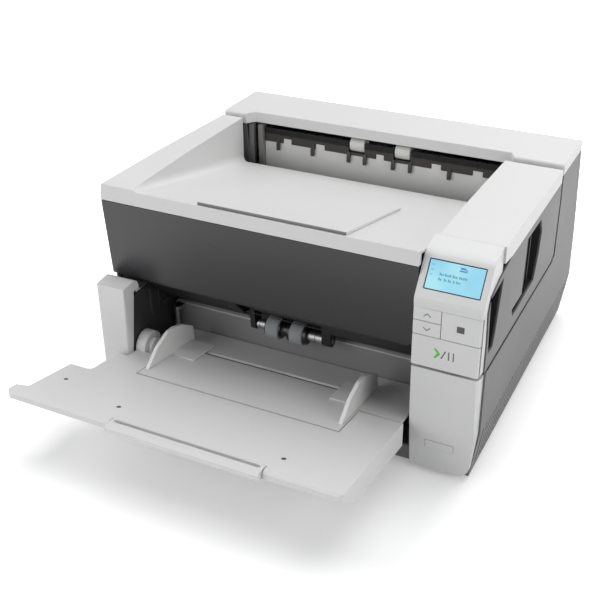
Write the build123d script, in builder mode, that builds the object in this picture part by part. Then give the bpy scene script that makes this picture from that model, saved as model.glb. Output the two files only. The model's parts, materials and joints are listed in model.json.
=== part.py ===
from build123d import *
import os
from math import hypot

# Desktop document scanner. Millimetres, +X to the right, +Y to the rear, +Z up.
# Every sketch plane below counts from the body's left side, its front datum and the floor.

# Driving sizes
body_width = 432.0
body_height = 254.5
base_depth = 377.0
tray_reach = 180.0
ear_overhang = 20.0
cover_depth = 252.0
seam_height = 136.0
foot_height = 5.0
wall = 2.5

# Clearances
shell_gap = 0.8
slide_gap = 0.35
key_gap = 0.3
shaft_gap = 0.05

left = -(body_width + ear_overhang) / 2 + ear_overhang
front = -(base_depth + tray_reach) / 2 + tray_reach


def across(x):
    return Plane(origin=(left + x, front, 0), x_dir=(0, 1, 0), z_dir=(1, 0, 0))


def facing(y):
    return Plane(origin=(left, front + y, 0), x_dir=(1, 0, 0), z_dir=(0, -1, 0))


def level(z):
    return Plane(origin=(left, front, z), x_dir=(1, 0, 0), z_dir=(0, 0, 1))


def block(x0, x1, y0, y1, z0, z1, mode=Mode.ADD):
    with BuildSketch(level(z0)) as base:
        Polygon((x0, y0), (x1, y0), (x1, y1), (x0, y1), align=None)
    extrude(base.sketch, amount=z1 - z0, mode=mode)


def slab(points, x0, x1, mode=Mode.ADD):
    with BuildSketch(across(x0)) as profile:
        Polygon(*points, align=None)
    extrude(profile.sketch, amount=x1 - x0, mode=mode)


def column(points, y0, y1, mode=Mode.ADD):
    with BuildSketch(facing(y0)) as profile:
        Polygon(*points, align=None)
    extrude(profile.sketch, amount=y0 - y1, mode=mode)


def rod(y, z, x0, x1, radius, mode=Mode.ADD):
    with BuildSketch(across(x0)) as profile:
        with Locations((y, z)):
            Circle(radius)
    extrude(profile.sketch, amount=x1 - x0, mode=mode)


def post(x, y, z0, z1, radius, mode=Mode.ADD):
    with BuildSketch(level(z0)) as profile:
        with Locations((x, y)):
            Circle(radius)
    extrude(profile.sketch, amount=z1 - z0, mode=mode)


# Places that several pieces share
cover_top = body_height + 1.5
cover_rear_top = body_height - 4.7
cover_bottom = seam_height + shell_gap
base_top = seam_height - shell_gap
bezel_left = body_width - 70.0
bezel_right = body_width - 2.0
throat_left = 36.0
throat_right = body_width - 75.0
throat_rear = 63.0
throat_floor = 22.0
throat_lip = 85.5
paper_centre = 190.0
hinge_y = cover_depth - 3.0
hinge_z = body_height - 11.5
riser_front = cover_depth + 10.5
cap_front = cover_depth + 4.8
cap_bottom = body_height - 13.7
exit_left = 30.0
exit_right = body_width - 63.0
exit_plane = cover_depth + 17.0
pin_radius = 3.0
boss_radius = 4.2
arm_neck = 3.6
arm_spans = ((10.0, 15.0), (body_width - 15.0, body_width - 10.0))

base_profile = (
    (0, foot_height),
    (base_depth - 5, foot_height),
    (base_depth - 2, foot_height + 5),
    (base_depth, 38),
    (base_depth - 12, base_top - 3),
    (base_depth - 34, cap_bottom),
    (riser_front - 5, cap_bottom),
    (riser_front - 1.5, body_height - 48),
    (riser_front, base_top + 4),
    (riser_front - 19, base_top),
    (0, base_top),
)
draft_top = 62.0
draft_left = 5.0
draft_right = 8.0
front_outline = (
    (draft_left, foot_height),
    (body_width - draft_right, foot_height),
    (body_width, draft_top),
    (body_width, body_height),
    (0, body_height),
    (0, draft_top),
)

# Hollow of the base, one wall inside its outside
with BuildPart() as base_hollow:
    with BuildSketch(across(0)) as side_view:
        Polygon(*base_profile, align=None)
        offset(amount=-wall, kind=Kind.INTERSECTION)
    extrude(side_view.sketch, amount=body_width)
    with BuildSketch(facing(-10)) as front_view:
        Polygon(*front_outline, align=None)
        offset(amount=-wall, kind=Kind.INTERSECTION)
    extrude(front_view.sketch, amount=-base_depth - 20, mode=Mode.INTERSECT)

vent_front = 26.0
vent_rear = 200.0
vent_low = 14.0
vent_high = 46.0
door_left = 62.0
door_right = body_width - 62.0
door_low = seam_height + 12.0
door_high = cap_bottom - 10.0
socket_left = 92.0
socket_low = 50.0
port_left = 150.0

with BuildPart() as base_housing:
    slab(base_profile, 0, body_width)
    column(front_outline, -10, base_depth + 10, mode=Mode.INTERSECT)
    add(base_hollow.part, mode=Mode.SUBTRACT)
    # Throat, well for the cover's lower unit and mouth of the paper exit
    block(throat_left - wall, throat_right + wall, -1, throat_rear + 3, throat_floor, 200, mode=Mode.SUBTRACT)
    block(throat_left - wall, throat_right + wall, 0, riser_front - 18, 120, 170, mode=Mode.SUBTRACT)
    block(exit_left, exit_right, cover_depth - 12, exit_plane + 1, 120, cap_bottom + 1, mode=Mode.SUBTRACT)
    block(
        wall, body_width - wall, riser_front - 2, base_depth - 35 - wall, cap_bottom - 8, cap_bottom + 1,
        mode=Mode.SUBTRACT,
    )
    for arm_left, arm_right in arm_spans:
        block(
            arm_left - 1, arm_right + 1, riser_front - 8, riser_front + 4, hinge_z - 62, cap_bottom + 1,
            mode=Mode.SUBTRACT,
        )
    # Windows for the vent panel, the rear door and the sockets
    block(body_width - 15, body_width + 5, vent_front, vent_rear, vent_low, vent_high, mode=Mode.SUBTRACT)
    block(door_left, door_right, exit_plane + 30, base_depth, door_low, door_high, mode=Mode.SUBTRACT)
    block(socket_left, socket_left + 28, 350, base_depth + 2, socket_low, socket_low + 21, mode=Mode.SUBTRACT)
    block(port_left, port_left + 13, 350, base_depth + 2, socket_low, socket_low + 12, mode=Mode.SUBTRACT)

vent_pitch = 7.0
vent_slot = 3.0
vent_count = int((vent_rear - vent_front - 6) / vent_pitch)


def draft_x(z):
    return body_width - draft_right * (draft_top - z) / (draft_top - foot_height)


with BuildPart() as vent_panel:
    column(
        (
            (draft_x(vent_low) - wall, vent_low + key_gap),
            (draft_x(vent_low) - 0.6, vent_low + key_gap),
            (draft_x(vent_high) - 0.6, vent_high - key_gap),
            (draft_x(vent_high) - wall, vent_high - key_gap),
        ),
        vent_front + key_gap,
        vent_rear - key_gap,
    )
    for step in range(vent_count):
        slot_y = vent_front + 6 + step * vent_pitch
        block(
            body_width - 15, body_width + 5, slot_y, slot_y + vent_slot,
            vent_low + 4, vent_high - 4, mode=Mode.SUBTRACT,
        )

# Front columns
pillar_front = -36.0
pillar_top = seam_height + 12.5
pillar_rise = 3.0
pillar_rear = -6.5
side_wall_edge = ((-16, base_top + 3), (-26, 76.5), (-30, 54), (-30, throat_floor))
with BuildPart() as left_pillar:
    slab(
        (
            (pillar_front + 3, foot_height),
            (0, foot_height),
            (0, base_top - 1.2),
            (pillar_rear, base_top - 1.2),
            (pillar_rear, pillar_top + pillar_rise),
            (pillar_front + 2, pillar_top),
            (pillar_front, 54),
        ),
        0,
        throat_left,
    )
    fillet(left_pillar.edges().filter_by(Axis.X).group_by(Axis.Z)[-1].sort_by(Axis.Y)[0], radius=9)
    with BuildSketch(level(0)) as pillar_plan:
        Polygon((0, pillar_front - 2), (throat_left, pillar_front - 2), (throat_left, 0), (0, 0), align=None)
        fillet(pillar_plan.vertices().sort_by(Axis.Y)[0:2], radius=7)
    extrude(pillar_plan.sketch, amount=pillar_top + 5, mode=Mode.INTERSECT)
    offset(amount=-wall, openings=left_pillar.faces().filter_by(Axis.Y).sort_by(Axis.Y)[-1])
    # The dark side wall of the throat comes forward here
    slab(
        ((0.5, throat_floor), (0.5, base_top + 3), *side_wall_edge),
        throat_left - wall,
        throat_left + 1,
        mode=Mode.SUBTRACT,
    )

column_front = -15.0
column_left = throat_right + 4.0
column_top = seam_height - 3.0
power_left = bezel_left + 16.0
power_right = bezel_left + 46.5
power_low = 34.0
power_high = 44.5


def column_face(z):
    return -5 - 8 * (z - foot_height) / 70


with BuildPart() as right_column:
    slab(
        (
            (0, foot_height),
            (-5, foot_height),
            (-13, 75),
            (column_front, column_top),
            (0, column_top),
        ),
        column_left,
        bezel_right,
    )
    with BuildSketch(facing(-30)) as column_view:
        Polygon(
            (column_left, foot_height), (bezel_right - 6, foot_height), (bezel_right, draft_top),
            (bezel_right, column_top), (column_left, column_top), align=None,
        )
        fillet(column_view.vertices().group_by(Axis.Y)[0].sort_by(Axis.X)[-1], radius=16)
    extrude(column_view.sketch, amount=-40, mode=Mode.INTERSECT)
    with BuildSketch(level(0)) as column_plan:
        Polygon(
            (column_left, column_front - 2), (bezel_right, column_front - 2),
            (bezel_right, 0), (column_left, 0),
            align=None,
        )
        fillet(column_plan.vertices().group_by(Axis.Y)[0].sort_by(Axis.X)[-1], radius=9)
        fillet(column_plan.vertices().group_by(Axis.Y)[0].sort_by(Axis.X)[0], radius=3)
    extrude(column_plan.sketch, amount=column_top + 5, mode=Mode.INTERSECT)
    slab(
        (
            (1, foot_height + wall),
            (-5 + wall, foot_height + wall),
            (-13 + wall, 75),
            (column_front + wall, column_top - wall),
            (1, column_top - wall),
        ),
        column_left + wall,
        bezel_right - 9,
        mode=Mode.SUBTRACT,
    )
    block(power_left, power_right, -20, 0, power_low, power_high, mode=Mode.SUBTRACT)

with BuildPart() as power_button:
    slab(
        (
            (column_face(power_low) - 0.5, power_low + key_gap),
            (-1.5, power_low + key_gap),
            (-1.5, power_high - key_gap),
            (column_face(power_high) - 0.5, power_high - key_gap),
        ),
        power_left + key_gap,
        power_right - key_gap,
    )
    block(power_left - 2, power_right + 2, -2.5, -1.5, power_low - 2, power_high + 2)

# Throat: dark liner, light front wall and elevator rails
rib_pitch = 14.0
with BuildPart() as throat_liner:
    column(
        (
            (throat_left - wall, throat_floor), (throat_right + wall, throat_floor),
            (throat_right + wall, base_top - 2), (throat_right, base_top - 2),
            (throat_right, throat_floor + wall), (throat_left, throat_floor + wall),
            (throat_left, base_top - 2), (throat_left - wall, base_top - 2),
        ),
        0,
        throat_rear,
    )
    slab(
        (
            (0, throat_floor), (0, base_top - 2),
            *((y + key_gap, min(z, base_top - 2)) for y, z in side_wall_edge),
        ),
        throat_left - wall,
        throat_left,
    )
    for step in range(3):
        rib_y = 14 + step * rib_pitch
        block(throat_left - 1, throat_left + 1.2, rib_y, rib_y + 3, 92, base_top - 8)
        block(throat_right - 1.2, throat_right + 1, rib_y, rib_y + 3, 92, base_top - 8)

with BuildPart() as throat_wall:
    slab(
        (
            (throat_rear, throat_floor + wall),
            (throat_rear + wall, throat_floor + wall),
            (throat_rear + wall, throat_lip - wall),
            (throat_rear + 7, throat_lip - wall + 0.5),
            (throat_rear + 7, throat_lip + 0.5),
            (throat_rear + 1, throat_lip),
            (throat_rear, throat_lip - 1),
        ),
        throat_left,
        throat_right,
    )

rail_y = 52.0
rail_radius = 3.0
rail_left = throat_left + 8.0
rail_right = throat_right - 8.0
with BuildPart() as elevator_rails:
    for rail_x in (rail_left, rail_right):
        post(rail_x, rail_y, throat_floor + wall, throat_lip, rail_radius)
        block(rail_x - 5, rail_x + 5, rail_y, throat_rear, throat_lip - 4, throat_lip)

# Paper path: the lower guide of the base and what rides along it
guide_left_edge = throat_left + 4.0
guide_right_edge = throat_right - 4.0
path_front = throat_rear + 7.5
path_bend_y = cover_depth - 40.0
path_bend_z = throat_lip + 14.0
roller_y = 120.0
glass_front = 160.0
glass_rear = 176.0
path_low = throat_lip - 5.5
path_high = throat_lip + 24.5
path_rise = (path_bend_z - throat_lip) / (path_bend_y - path_front)


def path_z(y):
    return throat_lip + path_rise * (y - path_front)


with BuildPart() as lower_guide:
    with BuildSketch(across(guide_left_edge)) as guide_view:
        with BuildLine():
            FilletPolyline(
                (path_front, throat_lip - 1), (path_bend_y, path_bend_z - 1),
                (exit_plane - 1, seam_height + 16),
                (exit_plane - 1, seam_height + 44), radius=26,
            )
        trace(line_width=2)
    extrude(guide_view.sketch, amount=guide_right_edge - guide_left_edge)
    # Windows for the rollers and the scan glass
    for window_x in (paper_centre - 70, paper_centre + 70):
        block(
            window_x - 15, window_x + 15, roller_y - 14, roller_y + 14, path_low, path_high,
            mode=Mode.SUBTRACT,
        )
    block(
        paper_centre - 25, paper_centre + 25, path_front + 2, path_front + 26, path_low, path_high,
        mode=Mode.SUBTRACT,
    )
    block(
        guide_left_edge + 8, guide_right_edge - 8, glass_front, glass_rear, path_low, path_high,
        mode=Mode.SUBTRACT,
    )

with BuildPart() as lower_glass:
    slab(
        (
            (glass_front + key_gap, path_z(glass_front) - 3), (glass_rear - key_gap, path_z(glass_rear) - 3),
            (glass_rear - key_gap, path_z(glass_rear)), (glass_front + key_gap, path_z(glass_front)),
        ),
        guide_left_edge + 8.3,
        guide_right_edge - 8.3,
    )

with BuildPart() as lower_camera:
    slab(
        (
            (glass_front - 8, throat_lip - 33.5), (glass_rear + 14, throat_lip - 33.5),
            (glass_rear + 14, throat_lip - 3.5),
            (glass_rear + 3, path_z(glass_rear + 3) - 3.3), (glass_front - 3, path_z(glass_front - 3) - 3.3),
            (glass_front - 8, throat_lip - 3.5),
        ),
        guide_left_edge + 4,
        guide_right_edge - 4,
    )
    slab(
        (
            (glass_front + 4, throat_lip - 23.5), (glass_rear - 4, throat_lip - 23.5),
            (glass_rear - 2, throat_lip + 34.5), (glass_front + 2, throat_lip + 34.5),
        ),
        guide_left_edge + 10,
        guide_right_edge - 10,
        mode=Mode.SUBTRACT,
    )

shaft_radius = 3.0


def roller(y, z, x0, x1, tyre_radius, tyre_width, centres):
    rod(y, z, x0, x1, shaft_radius)
    for centre in centres:
        rod(y, z, centre - tyre_width / 2, centre + tyre_width / 2, tyre_radius)


feed_y = 46.0
feed_z = throat_lip + 10.0
feed_radius = 13.0
separation_y = path_front + 14.0
separation_radius = 11.0
separation_z = path_z(separation_y) - separation_radius + 1.0
transport_radius = 10.0
lower_transport_z = path_z(roller_y) - transport_radius + 0.6
upper_transport_z = path_z(roller_y) + transport_radius + 1.0
side_centres = (paper_centre - 70, paper_centre + 70)

with BuildPart() as separation_roller:
    roller(
        separation_y, separation_z, paper_centre - 34, paper_centre + 34, separation_radius, 36, (paper_centre,),
    )

with BuildPart() as lower_transport_roller:
    roller(
        roller_y, lower_transport_z, guide_left_edge - 2, throat_right + 12,
        transport_radius, 24, side_centres,
    )

bearing_base = throat_lip - 25.5
with BuildPart() as roller_bearings:
    for x0 in (paper_centre - 33, paper_centre + 27):
        block(x0, x0 + 6, separation_y - 6, separation_y + 6, bearing_base, separation_z + 6)
        rod(separation_y, separation_z, x0 - 1, x0 + 7, shaft_radius + shaft_gap, mode=Mode.SUBTRACT)
    for x0 in (guide_left_edge, guide_right_edge - 5):
        block(x0, x0 + 5, roller_y - 6, roller_y + 6, bearing_base, lower_transport_z + 6.4)
        rod(roller_y, lower_transport_z, x0 - 1, x0 + 6, shaft_radius + shaft_gap, mode=Mode.SUBTRACT)
    block(guide_left_edge, guide_right_edge, separation_y - 6, roller_y + 6, bearing_base - 3, bearing_base)

# Drive: motor on the right, its pulley belted to the transport shaft
motor_y = 150.0
motor_z = 48.0
pulley_x = throat_right + 6.0
with BuildPart() as drive_motor:
    rod(motor_y, motor_z, pulley_x + 10, pulley_x + 44, 20)
    block(pulley_x + 9, pulley_x + 11, motor_y - 24, motor_y + 24, foot_height + wall, motor_z + 22)
    rod(motor_y, motor_z, pulley_x + 2, pulley_x + 12, 3.2, mode=Mode.SUBTRACT)
    rod(motor_y, motor_z, pulley_x + 10, pulley_x + 40, 3.2, mode=Mode.SUBTRACT)

with BuildPart() as drive_pulley:
    rod(motor_y, motor_z, pulley_x, pulley_x + 7, 8)
    rod(motor_y, motor_z, pulley_x, pulley_x + 38, 3.15)

# Fan behind the vent panel
fan_y = 66.0
fan_z = 36.0
fan_bore = 24.0
fan_x = body_width - 30.0
with BuildPart() as fan_frame:
    block(fan_x, fan_x + 14, fan_y - 27, fan_y + 27, foot_height + wall, fan_z + 27)
    rod(fan_y, fan_z, fan_x - 1, fan_x + 15, fan_bore, mode=Mode.SUBTRACT)
    rod(fan_y, fan_z, fan_x, fan_x + 2, 7)
    with BuildSketch(across(fan_x)) as arms:
        with Locations((fan_y, fan_z)):
            with PolarLocations(fan_bore / 2 + 2, 4, start_angle=45):
                Rectangle(fan_bore - 4, 2.4)
    extrude(arms.sketch, amount=2)

with BuildPart() as fan_rotor:
    rod(fan_y, fan_z, fan_x + 2.4, fan_x + 12, 8)
    with BuildSketch(across(fan_x + 3.5)) as blades:
        with Locations((fan_y, fan_z)):
            with PolarLocations(14.5, 7):
                Rectangle(16, 3)
    extrude(blades.sketch, amount=7)

# Electronics under the paper path
with BuildPart() as power_supply:
    block(60, 180, 200, 260, foot_height + wall, 48)
    for step in range(6):
        slot_x = 70 + step * 17
        block(slot_x, slot_x + 6, 208, 252, 45, 49, mode=Mode.SUBTRACT)

board_z = 16.0
board_thick = 1.6
with BuildPart() as main_board:
    block(195, 340, 195, 330, board_z, board_z + board_thick)
    for chip_x, chip_y, chip_size, chip_height in (
        (240, 240, 26, 3), (290, 250, 18, 2.5), (225, 295, 14, 2), (310, 300, 12, 9), (265, 305, 20, 6),
    ):
        block(
            chip_x, chip_x + chip_size, chip_y, chip_y + chip_size,
            board_z + board_thick, board_z + board_thick + chip_height,
        )
    for post_x in (201, 334):
        for post_y in (201, 324):
            post(post_x, post_y, foot_height + wall, board_z, 3)


def rear_face(z):
    return base_depth - 12 * (z - 38) / (base_top - 41)


with BuildPart() as power_inlet:
    block(
        socket_left + key_gap, socket_left + 28 - key_gap, 344, rear_face(socket_low + 10),
        socket_low + key_gap, socket_low + 21 - key_gap,
    )
    block(
        socket_left + 3, socket_left + 25, 352, base_depth, socket_low + 3, socket_low + 18,
        mode=Mode.SUBTRACT,
    )
    for pin_x in (socket_left + 8, socket_left + 14, socket_left + 20):
        block(pin_x - 1, pin_x + 1, 351, 366, socket_low + 8, socket_low + 13)

with BuildPart() as data_port:
    block(
        port_left + key_gap, port_left + 13 - key_gap, 352, rear_face(socket_low + 8),
        socket_low + key_gap, socket_low + 12 - key_gap,
    )
    block(port_left + 2, port_left + 11, 356, base_depth, socket_low + 2, socket_low + 10, mode=Mode.SUBTRACT)
    block(port_left + 4, port_left + 9, 355, 366, socket_low + 5, socket_low + 7)

foot_radius = 9.0
with BuildPart() as rubber_feet:
    for foot_x in (30, body_width - 36):
        for foot_y in (24, base_depth - 40):
            post(foot_x, foot_y, 0, foot_height, foot_radius)

# Rear riser: cap, exit comb, back plate, bracket and hinge arms
scoop_left = 40.0
scoop_right = exit_right
scoop_depth = 10.0
with BuildPart() as rear_cap:
    with BuildSketch(across(0)) as cap_view:
        Polygon(
            (cap_front, cap_bottom + 0.4), (base_depth - 34, cap_bottom + 0.4),
            (base_depth - 36, body_height),
            (cap_front, body_height), align=None,
        )
        fillet(cap_view.vertices().group_by(Axis.Y)[-1], radius=3)
    extrude(cap_view.sketch, amount=body_width)
    with BuildSketch(level(body_height + 1)) as scoop:
        Polygon(
            (scoop_left - 10, cap_front - 1), (scoop_right + 6, cap_front - 1),
            (scoop_right, cap_front + scoop_depth), (scoop_left, cap_front + scoop_depth), align=None,
        )
    extrude(scoop.sketch, amount=-30, mode=Mode.SUBTRACT)
    offset(amount=-wall, openings=rear_cap.faces().sort_by(Axis.Z)[0])

comb_top = body_height - 18.8
comb_bottom = body_height - 36.7
comb_left = 50.5
comb_right = exit_right - slide_gap
finger_bottom = body_height - 46.0
finger_width = 4.4
finger_centres = (70.5, 118.5, 167.7, 189.2, 226.0, 248.0, 297.0)
tab_top = body_height - 30.5
tab_spans = ((77, 88), (122, 134), (203, 213), (274, 286), (325, 337))
exit_roller_centres = (178.0, 237.0)
exit_roller_radius = 9.0
exit_roller_y = exit_plane + 6.5
exit_roller_z = body_height - 24.0
with BuildPart() as exit_comb:
    block(comb_left, comb_right, exit_plane - 1, exit_plane + 1.5, comb_bottom, comb_top)
    for centre in finger_centres:
        slab(
            (
                (exit_plane - 1, comb_bottom + 6), (exit_plane - 4, comb_bottom - 1),
                (exit_plane - 4, finger_bottom), (exit_plane - 1.5, finger_bottom),
                (exit_plane, comb_bottom - 2), (exit_plane, comb_bottom + 6),
            ),
            centre - finger_width / 2,
            centre + finger_width / 2,
        )
    # Windows for the exit rollers, and notches for the tabs of the back plate
    for centre in exit_roller_centres:
        block(
            centre - 11,
            centre + 11,
            exit_plane - 2,
            exit_plane + 3,
            exit_roller_z - exit_roller_radius,
            comb_top + 1,
            mode=Mode.SUBTRACT,
        )
    for tab_left, tab_right in tab_spans:
        block(
            tab_left - key_gap, tab_right + key_gap, exit_plane - 2, exit_plane + 3,
            comb_bottom - 1, tab_top + key_gap, mode=Mode.SUBTRACT,
        )

backplate_y = exit_plane + key_gap
with BuildPart() as exit_backplate:
    block(comb_left, comb_right, backplate_y, backplate_y + 2, seam_height + 36, comb_bottom - key_gap)
    for tab_left, tab_right in tab_spans:
        block(tab_left, tab_right, backplate_y, backplate_y + 2, comb_bottom - 1, tab_top)

bracket_left = exit_left + slide_gap
bracket_right = comb_left - slide_gap
bracket_flange = 6.4
with BuildPart() as exit_bracket:
    with BuildSketch(level(seam_height + 50)) as bracket_plan:
        Polygon(
            (bracket_left, exit_plane + 6), (bracket_left, riser_front + 0.5),
            (bracket_left + bracket_flange, riser_front + 0.5),
            (bracket_left + bracket_flange, exit_plane + 3),
            (bracket_right - bracket_flange, exit_plane + 3),
            (bracket_right - bracket_flange, riser_front + 0.5),
            (bracket_right, riser_front + 0.5), (bracket_right, exit_plane + 6), align=None,
        )
    extrude(bracket_plan.sketch, amount=cap_bottom - seam_height - 52)

with BuildPart() as exit_roller:
    roller(
        exit_roller_y, exit_roller_z, comb_left + 2, comb_right - 2, exit_roller_radius, 19, exit_roller_centres,
    )

with BuildPart() as exit_bearings:
    for x0 in (comb_left + 4, (comb_left + comb_right) / 2, comb_right - 10):
        block(x0, x0 + 6, backplate_y + 2.3, exit_roller_y + 14, seam_height + 58, exit_roller_z + 6)
        rod(exit_roller_y, exit_roller_z, x0 - 1, x0 + 7, shaft_radius + shaft_gap, mode=Mode.SUBTRACT)
    block(comb_left, comb_right, exit_roller_y + 12, exit_roller_y + 14, seam_height + 58, seam_height + 70)

with BuildPart() as hinge_arms:
    for arm_left, arm_right in arm_spans:
        slab(
            (
                (hinge_y - arm_neck, hinge_z - 1), (hinge_y + arm_neck, hinge_z - 1),
                (riser_front + 4, hinge_z - 24), (riser_front + 12, hinge_z - 24),
                (riser_front + 12, hinge_z - 60), (riser_front + 2.5, hinge_z - 60),
                (riser_front + 2.5, hinge_z - 32), (hinge_y - arm_neck, hinge_z - 12),
            ),
            arm_left,
            arm_right,
        )
        rod(hinge_y, hinge_z, arm_left, arm_right, arm_neck)
        rod(hinge_y, hinge_z, arm_left - 6, arm_right + 6, pin_radius)
    block(wall, arm_spans[0][0], riser_front + 3, riser_front + 12, hinge_z - 60, hinge_z - 46)
    block(arm_spans[1][1], body_width - wall, riser_front + 3, riser_front + 12, hinge_z - 60, hinge_z - 46)

# Rear door, hinged along its lower edge
door_axis_y = base_depth - 22.0
door_axis_z = door_low + 5.0
door_thick = 3.0


def riser_face(z):
    return base_depth - 12 - 22 * (z - base_top + 3) / (cap_bottom - base_top + 3)


with BuildPart() as rear_door:
    slab(
        (
            (riser_face(door_low + 2) - door_thick, door_low + 2), (riser_face(door_low + 2), door_low + 2),
            (riser_face(door_high - 1), door_high - 1),
            (riser_face(door_high - 1) - door_thick, door_high - 1),
        ),
        door_left + slide_gap,
        door_right - slide_gap,
    )
    block(
        paper_centre, paper_centre + 40, riser_face(door_high - 20) - 8, base_depth,
        door_high - 14, door_high + 1,
        mode=Mode.SUBTRACT,
    )
    rod(riser_face(door_axis_z) - door_thick, door_axis_z, door_left + 1, door_left + 10, 2.5)
    rod(riser_face(door_axis_z) - door_thick, door_axis_z, door_right - 10, door_right - 1, 2.5)

# Elevator platform, one plane with the input tray
tray_rise = 0.1475
tray_join_y = -22.5
tray_join_z = 66.5


def deck(y, drop=0.0):
    return tray_join_z + tray_rise * (tray_join_y - y) - drop


platform_front = -21.0
platform_rear = throat_rear - 1.5
platform_thick = 3.0
tongue_left = 71.0
tongue_right = paper_centre + (paper_centre - tongue_left)
tongue_front = -70.0
tray_axis_y = -46.0
tray_axis_z = deck(tray_axis_y, 8.0)
rack_slot_y = 12.0
lump_right = 50.0
lump_y = -4.0
lump_radius = 10.5
with BuildPart() as elevator_platform:
    with BuildSketch(across(throat_left + 1)) as platform_view:
        Polygon(
            (platform_front + 0.6, deck(platform_front + 0.6)),
            (platform_front + 0.6, deck(platform_front, 6)),
            (platform_front + 3, deck(platform_front + 3, platform_thick)),
            (platform_rear, deck(platform_rear, platform_thick)), (platform_rear, deck(platform_rear)),
            align=None,
        )
    extrude(platform_view.sketch, amount=throat_right - throat_left - 2)
    slab(
        (
            (tongue_front, deck(tongue_front)), (tongue_front, deck(tongue_front, 6)),
            (tray_axis_y, deck(tray_axis_y, 15)), (platform_front + 4, deck(platform_front, 15)),
            (platform_front + 4, deck(platform_front + 4)),
        ),
        tongue_left,
        tongue_right,
    )
    # Half-round housing of the side latch
    rod(lump_y, deck(lump_y, 1), throat_left + 1, lump_right, lump_radius)
    slab(
        ((-16, deck(-16, 14)), (12, deck(12, 14)), (12, deck(12, 1)), (-16, deck(-16, 1))),
        throat_left,
        lump_right + 1,
        mode=Mode.SUBTRACT,
    )
    # Slot for the side guides
    block(tongue_left + 2, tongue_right - 2, rack_slot_y - 3, rack_slot_y + 3, 30, 90, mode=Mode.SUBTRACT)
    # Collars on the elevator rails
    for rail_x in (rail_left, rail_right):
        block(rail_x - 6, rail_x + 6, rail_y - 6, rail_y + 6, deck(rail_y, 16), deck(rail_y, 1))
        post(rail_x, rail_y, 20, 80, rail_radius + shaft_gap, mode=Mode.SUBTRACT)
    # Pins of the tray
    for x0, x1 in ((tongue_left - 8, tongue_left), (tongue_right, tongue_right + 8)):
        rod(tray_axis_y, tray_axis_z, x0, x1, pin_radius)

# Side guides: fins on the deck, with racks and a pinion under it
guide_inner = 113.0
fin_thick = 4.0
fin_profile = (
    (-58, deck(-58, -0.5)), (36, deck(36, -0.5)), (34, 77), (13, 90.5), (-4, 95.5), (-15, 96), (-38, 88),
    (-56, 74),
)
flange_width = 30.0
pinion_radius = 12.0


def guide(side):
    inner = paper_centre + side * guide_inner
    outer = inner + side * fin_thick
    low, high = sorted((inner, outer))
    with BuildPart() as piece:
        with BuildSketch(across(low)) as fin:
            Polygon(*fin_profile, align=None)
            fillet(fin.vertices().group_by(Axis.Y)[-1], radius=5)
        extrude(fin.sketch, amount=high - low)
        tip = inner - side * flange_width
        x0, x1 = sorted((tip, inner + side * 1.0))
        slab(
            (
                (-15, deck(-15, -0.4)), (30, deck(30, -0.4)), (30, deck(30, -2)), (-15, deck(-15, -2)),
            ),
            x0,
            x1,
        )
        # Tab through the slot and the rack below the deck
        tab = inner - side * 15
        t0, t1 = sorted((tab, tab - side * 10))
        block(t0, t1, rack_slot_y - 2.4, rack_slot_y + 2.4, deck(rack_slot_y, 8), deck(rack_slot_y, -1))
        rack_y = rack_slot_y + side * (pinion_radius + 3.5)
        end = paper_centre - side * 25
        r0, r1 = sorted((tab, end))
        y0, y1 = sorted((rack_slot_y - side * 2.4, rack_y + side * 2.0))
        block(t0, t1, y0, y1, deck(rack_slot_y, 10), deck(rack_slot_y, 7))
        y0, y1 = sorted((rack_y - side * 1.5, rack_y + side * 2.0))
        block(r0, r1, y0, y1, deck(rack_slot_y, 10), deck(rack_slot_y, 7))
    return piece


guide_left = guide(-1)
guide_right = guide(1)

with BuildPart() as guide_pinion:
    with BuildSketch(level(deck(rack_slot_y, 10))) as pinion_plan:
        with Locations((paper_centre, rack_slot_y)):
            Circle(pinion_radius - 0.6)
            Circle(2.6, mode=Mode.SUBTRACT)
    extrude(pinion_plan.sketch, amount=3)

with BuildPart() as pinion_post:
    with BuildSketch(level(deck(rack_slot_y, 12))) as post_plan:
        with Locations((paper_centre, rack_slot_y)):
            Circle(6)
    extrude(post_plan.sketch, amount=1.8)
    with BuildSketch(level(deck(rack_slot_y, 12))) as pin_plan:
        with Locations((paper_centre, rack_slot_y)):
            Circle(2.55)
    extrude(pin_plan.sketch, amount=8.8)
    block(
        paper_centre - 6, paper_centre + 6, rack_slot_y + 4, platform_rear - 26,
        deck(rack_slot_y, 12), deck(rack_slot_y, 12) + 1.8,
    )
    block(
        paper_centre - 6, paper_centre + 6, platform_rear - 28, platform_rear - 24,
        deck(rack_slot_y, 12), deck(platform_rear - 24, platform_thick),
    )

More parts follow.
